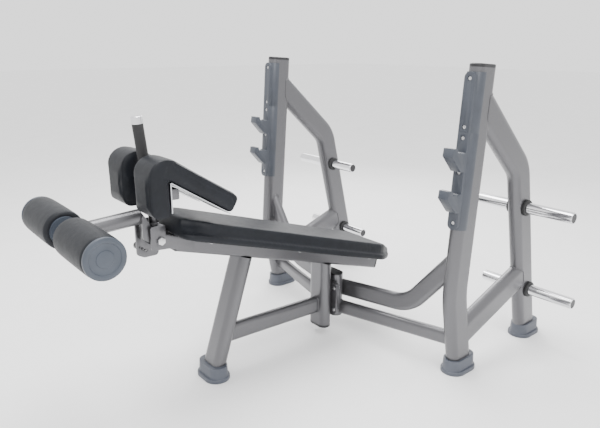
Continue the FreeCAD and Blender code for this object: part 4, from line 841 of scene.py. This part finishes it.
def rounded(points: Sequence[Vector], radii: Sequence[float], inset: float) -> list[Vector]:
    """Rounds each corner of a closed X-Z outline and shrinks it.

    Args:
        points: Sharp corners.
        radii: Radius of each corner.
        inset: How far every side moves inwards.

    Returns:
        Points of the rounded outline.
    """
    count = len(points)
    area = sum(points[i].x * points[(i + 1) % count].z - points[(i + 1) % count].x * points[i].z
               for i in range(count))
    turn = 1.0 if area > 0 else -1.0
    sharp = []
    for index, here in enumerate(points):
        back = (here - points[index - 1]).normalized()
        ahead = (points[(index + 1) % count] - here).normalized()
        normal_back = Vector((-back.z, 0, back.x)) * turn
        normal_ahead = Vector((-ahead.z, 0, ahead.x)) * turn
        middle = (normal_back + normal_ahead).normalized()
        sharp.append(here + middle * (inset / max(0.3, middle.dot(normal_ahead))))
    result = []
    for index, here in enumerate(sharp):
        back = sharp[index - 1] - here
        ahead = sharp[(index + 1) % count] - here
        half_angle = back.angle(ahead) / 2
        setback = min(radii[index] / math.tan(half_angle), 0.46 * back.length, 0.46 * ahead.length)
        radius = setback * math.tan(half_angle)
        start, end = here + back.normalized() * setback, here + ahead.normalized() * setback
        centre = here + (back.normalized() + ahead.normalized()).normalized() * (
            radius / math.sin(half_angle))
        first, last = start - centre, end - centre
        steps = max(2, int(radius / 0.004))
        for step in range(steps + 1):
            share = step / steps
            result.append(centre + first.normalized().slerp(last.normalized(), share) * radius)
    return result


# ---------------------------------------------------------------- leg rollers
@dataclass
class LegRollers:
    """Foam rollers with rolled ends, and their outer discs."""

    shop: Workshop
    squash: float = 0.0015
    lip: float = 0.013
    bore: float = 0.0195
    disc_bore: float = 0.0205
    end_step: float = 0.002
    lip_steps: int = 8
    crown_steps: int = 12
    turn_steps: int = 96

    def build(self) -> None:
        """Builds foam and caps on both sides."""
        for side, sign in SIDES:
            self.foam(side, sign)
            self.outer_cap(side, sign)

    def foam(self, side: str, sign: float) -> None:
        """Builds one foam roller as a spun, crowned profile."""
        low, high = node_box(f"leg_roller_{side}")
        centre = Vector(((low.x + high.x) / 2, 0, (low.z + high.z) / 2))
        radius = (high.z - low.z) / 2
        start, end = (low.y, high.y) if sign > 0 else (-high.y, -low.y)
        profile = [(start + self.end_step, self.bore)]
        for y0, way in ((start, 1.0), (end, -1.0)):
            arc = []
            for step in range(self.lip_steps + 1):
                angle = math.pi / 2 * step / self.lip_steps
                arc.append((y0 + way * self.lip * (1 - math.sin(angle)),
                            radius - self.lip * (1 - math.cos(angle)) - self.squash * 0.5))
            profile += arc[::-1] if way > 0 else arc
            if way > 0:
                span = end - start - 2 * self.lip
                for step in range(1, self.crown_steps):
                    share = step / self.crown_steps
                    crown = math.sin(math.pi * share) ** 0.5
                    profile.append((start + self.lip + span * share,
                                    radius - self.squash * (1 - crown) * 0.5))
        profile.append((end - self.end_step, self.bore))
        mesh = bmesh.new()
        spun(mesh, profile, centre, Vector((0, sign, 0)), self.turn_steps)
        foam = self.shop.piece(f"foam_roller_{side}", mesh, f"roller_{side}", Slot.FOAM,
                               (f"leg_roller_{side}",), 60.0)

    def outer_cap(self, side: str, sign: float) -> None:
        """Builds one outer disc with a raised ring, a dished middle and a hub button."""
        low, high = node_box(f"roller_outer_cap_{side}")
        centre = Vector(((low.x + high.x) / 2, 0, (low.z + high.z) / 2))
        radius = (high.z - low.z) / 2
        start, end = (low.y, high.y) if sign > 0 else (-high.y, -low.y)
        profile = [(start, self.disc_bore), (start, radius - 0.002), (start + 0.002, radius),
                   (end - 0.005, radius), (end - 0.002, radius - 0.001),
                   (end - 0.0006, radius - 0.004),
                   (end, radius - 0.008), (end, radius - 0.014), (end - 0.001, radius - 0.0165),
                   (end - 0.003, radius - 0.018), (end - 0.0035, radius - 0.020),
                   (end - 0.0035, 0.030), (end - 0.003, 0.0275), (end - 0.0015, 0.0265),
                   (end - 0.001, 0.024), (end - 0.001, 0.0), (start + 0.003, 0.0),
                   (start + 0.003, self.disc_bore)]
        mesh = bmesh.new()
        spun(mesh, profile, centre, Vector((0, sign, 0)), self.turn_steps)
        self.shop.piece(f"roller_disc_{side}", mesh, f"roller_{side}", Slot.ROLLER,
                        (f"roller_outer_cap_{side}",), 30.0)


# ---------------------------------------------------------------- softened CAD pieces
@dataclass
class EasedParts:
    """Copies of CAD pieces whose sharp edges are eased, so that they catch the light."""

    shop: Workshop

    PLAN = (
        ("front_feet", "frame", Slot.FOOT, 0.0022), ("rear_feet", "frame", Slot.FOOT, 0.0022),
        ("bench_foot", "frame", Slot.FOOT, 0.0022), ("hook_covers", "frame", Slot.COVER, 0.0018),
        ("upper_covers", "frame", Slot.COVER, 0.0018),
        ("pivot_cheek_left", "frame", Slot.PAINT, 0.0012),
        ("pivot_cheek_right", "frame", Slot.PAINT, 0.0012),
        ("pivot_top_plate", "frame", Slot.PAINT, 0.0012),
        # arm_hub gets the darker copy of the frame paint, which is painted shade for the gap
        # between the cheeks.
        ("arm_hub", "leg_arm", Slot.PAINTED_SHADE, 0.0010),
        ("arm_lock_plate", "leg_arm", Slot.PAINT, 0.0008),
        ("arm_side_plate", "leg_arm", Slot.PAINT, 0.0012),
        ("flange_plates", "frame", Slot.PAINT, 0.0010),
        ("thigh_pad_mounts", "frame", Slot.PAINT, 0.0010),
        ("bench_pad_straps", "frame", Slot.PAINT, 0.0008),
        ("horn_collars", "frame", Slot.RUBBER, 0.0020),
        ("flange_bolts", "frame", Slot.STEEL, 0.0007),
        ("pivot_bolt", "frame", Slot.STEEL, 0.0010),
        ("cover_bolts", "frame", Slot.STEEL, 0.0007),
    )

    def build(self) -> None:
        """Builds the eased copy of each planned node."""
        for node, body, slot, width in self.PLAN:
            self.ease(node, body, slot, width)

    def ease(self, node: str, body: str, slot: Slot, width: float) -> None:
        """Copies one node, joins its flat faces and bevels its sharp edges.

        Args:
            node: CAD node to copy and stand for.
            body: Body that it rides on.
            slot: Slot of its finish.
            width: Width of the bevel.
        """
        mesh = bmesh.new()
        mesh.from_mesh(frame["nodes"][node].data)
        bmesh.ops.remove_doubles(mesh, verts=mesh.verts, dist=2e-5)
        bmesh.ops.dissolve_limit(mesh, angle_limit=math.radians(0.8), verts=mesh.verts,
                                 edges=mesh.edges, use_dissolve_boundaries=False)
        sharp = [e for e in mesh.edges if len(e.link_faces) == 2
                 and e.calc_face_angle(0.0) > math.radians(32)]
        bevel_edges(mesh, sharp, width, 2)
        data = bpy.data.meshes.new(f"{node}_eased")
        mesh.to_mesh(data)
        mesh.free()
        self.shop.adopt(f"{node}_eased", data, body, slot, (node,), 40.0)


@dataclass
class GripSleeve:
    """Rubber grip with shallow rings."""

    shop: Workshop
    foot: tuple[float, float, float] = (-0.6425, 0.0, 0.701)
    top: tuple[float, float, float] = (-0.6785, 0.0, 1.056)
    grip_low: float = 0.925
    radius: float = 0.0195
    bore: float = 0.0172
    lip: float = 0.002
    rib_start: float = 0.004
    rib_pitch: float = 0.0035
    rib_depth: float = 0.0006

    def build(self) -> None:
        """Builds the ribbed sleeve."""
        foot, top = Vector(self.foot), Vector(self.top)
        axis = (top - foot).normalized()
        start = foot + axis * ((self.grip_low - foot.z) / axis.z)
        length = (top - start).length
        radius = self.radius
        profile = [(0.0, self.bore), (0.0, radius - self.lip), (self.lip, radius)]
        count = int((length - 2 * self.rib_start) / self.rib_pitch)
        for index in range(count):
            along = self.rib_start + index * self.rib_pitch
            profile += [(along, radius),
                        (along + self.rib_pitch * 0.5, radius - self.rib_depth)]
        profile += [(length - self.lip, radius), (length, radius - self.lip),
                    (length, self.bore)]
        mesh = bmesh.new()
        spun(mesh, profile, start, axis, 48)
        self.shop.piece("grip_sleeve", mesh, "frame", Slot.RUBBER, ("handle_grip",), 50.0)


@dataclass
class WeldBeads:
    """Rippled weld beads where one tube of the frame meets another."""

    shop: Workshop
    radius: float = 0.0030
    pitch: float = 0.004
    ripple: float = 0.16
    reach: float = 0.0009
    sides: int = 8
    shortest: float = 0.05
    same_place: float = 0.06
    merge: float = 1e-5
    sharp: float = math.radians(20)
    fewest: int = 6

    JOINTS = (
        ("rear_support_left", "upright_left"), ("rear_support_right", "upright_right"),
        ("side_braces", "upright_left"), ("side_braces", "upright_right"),
        ("side_braces", "rear_support_left"), ("side_braces", "rear_support_right"),
        ("upper_cross_tube_left", "upright_left"), ("upper_cross_tube_right", "upright_right"),
        ("upper_cross_tube_left", "rack_post"), ("upper_cross_tube_right", "rack_post"),
        ("lower_cross_tubes", "upright_left"), ("lower_cross_tubes", "upright_right"),
        ("lower_cross_tubes", "rack_post"), ("front_leg", "main_beam"),
        ("bench_column", "main_beam"), ("bench_lower_bar", "front_leg"),
        ("bench_lower_bar", "bench_column"), ("handle_post", "pivot_top_plate"),
    )

    def build(self) -> None:
        """Builds the beads of every joint as one piece."""
        mesh = bmesh.new()
        for node, neighbour in self.JOINTS:
            for path, closed in self.paths(node, neighbour):
                self.bead(mesh, path, closed)
        self.shop.piece("frame_welds", mesh, "frame", Slot.PAINT, (), 80.0)

    def paths(self, node: str, neighbour: str) -> list[tuple[list[Vector], bool]]:
        """Finds the outer rims of a tube that lie on its neighbour.

        Args:
            node: CAD node of the tube that ends on the neighbour.
            neighbour: CAD node that it ends on.

        Returns:
            Each path as its points and whether it is closed.
        """
        near = bmesh.new()
        near.from_mesh(frame["nodes"][neighbour].data)
        tree = BVHTree.FromBMesh(near)
        mesh = bmesh.new()
        mesh.from_mesh(frame["nodes"][node].data)
        bmesh.ops.remove_doubles(mesh, verts=mesh.verts, dist=self.merge)
        touching = {v for v in mesh.verts if tree.find_nearest(v.co, self.reach)[0] is not None}
        links: dict[int, list[int]] = {}
        for edge in mesh.edges:
            sharp = len(edge.link_faces) == 2 and edge.calc_face_angle(0.0) > self.sharp
            if sharp and edge.verts[0] in touching and edge.verts[1] in touching:
                a, b = (v.index for v in edge.verts)
                links.setdefault(a, []).append(b)
                links.setdefault(b, []).append(a)
        places = [v.co.copy() for v in mesh.verts]
        near.free()
        mesh.free()
        return self.outer_chains(links, places)

    def outer_chains(self, links: dict[int, list[int]], places: Sequence[Vector]
                     ) -> list[tuple[list[Vector], bool]]:
        """Walks linked points into chains and keeps the outer one of each place."""
        chains = []
        left = set(links)
        starts = sorted(left, key=lambda i: (len(links[i]) != 1, i))
        for start in starts:
            if start not in left:
                continue
            chain = [start]
            left.discard(start)
            while True:
                onward = [n for n in sorted(links[chain[-1]]) if n in left]
                if not onward:
                    break
                chain.append(onward[0])
                left.discard(onward[0])
            closed = len(chain) > 3 and start in links[chain[-1]]
            points = [places[i] for i in chain]
            length = sum((b - a).length for a, b in zip(points, points[1:]))
            if length > self.shortest:
                chains.append((length, points, closed))
        kept: list[Vector] = []
        result = []
        for _, points, closed in sorted(chains, key=lambda c: -c[0]):
            middle = sum(points, Vector()) / len(points)
            if all((middle - other).length > self.same_place for other in kept):
                kept.append(middle)
                result.append((points, closed))
        return result

    def bead(self, mesh: bmesh.types.BMesh, path: Sequence[Vector], closed: bool) -> None:
        """Adds one rippled bead along a path.

        Args:
            mesh: Mesh that the bead is added to.
            path: Points of the path.
            closed: Whether the path comes back to its start.
        """
        points = resampled(list(path) + ([path[0]] if closed else []), self.pitch / 2)
        if closed:
            points = points[:-1]
        count = len(points)
        if count < self.fewest:
            return
        rings = []
        across = (points[1] - points[0]).orthogonal().normalized()
        for index, point in enumerate(points):
            ahead = points[(index + 1) % count] if closed or index + 1 < count else point
            back = points[index - 1] if closed or index else point
            along = (ahead - back).normalized()
            across = (across - along * across.dot(along)).normalized()
            other = along.cross(across)
            size = self.radius * (1.0 + self.ripple * math.cos(math.pi * index / 2))
            rings.append([point + (across * math.cos(a) + other * math.sin(a)) * size
                          for a in (2 * math.pi * k / self.sides for k in range(self.sides))])
        loft(mesh, rings, loop=closed)


def resampled(points: Sequence[Vector], step: float) -> list[Vector]:
    """Points at even distances along a polyline.

    Args:
        points: The polyline.
        step: Wanted distance.

    Returns:
        Even points that start and end where the polyline does.
    """
    lengths = [0.0]
    for before, after in zip(points, points[1:]):
        lengths.append(lengths[-1] + (after - before).length)
    count = max(2, round(lengths[-1] / step))
    result = []
    segment = 0
    for index in range(count + 1):
        wanted = lengths[-1] * index / count
        while segment < len(points) - 2 and lengths[segment + 1] < wanted:
            segment += 1
        run = max(lengths[segment + 1] - lengths[segment], 1e-9)
        share = (wanted - lengths[segment]) / run
        result.append(points[segment].lerp(points[segment + 1], min(1.0, share)))
    return result


def main() -> None:
    logging.basicConfig(level=logging.INFO, format="%(name)s: %(message)s")
    finishes = Finishes()
    finishes.dress_frame()
    shop = Workshop(finishes)
    Studio().build()
    for maker in (BenchCushion, ThighCushions, LegRollers, EasedParts, GripSleeve, WeldBeads):
        maker(shop).build()
        LOG.info("%s done", maker.__name__)


if __name__ == "__main__":
    main()
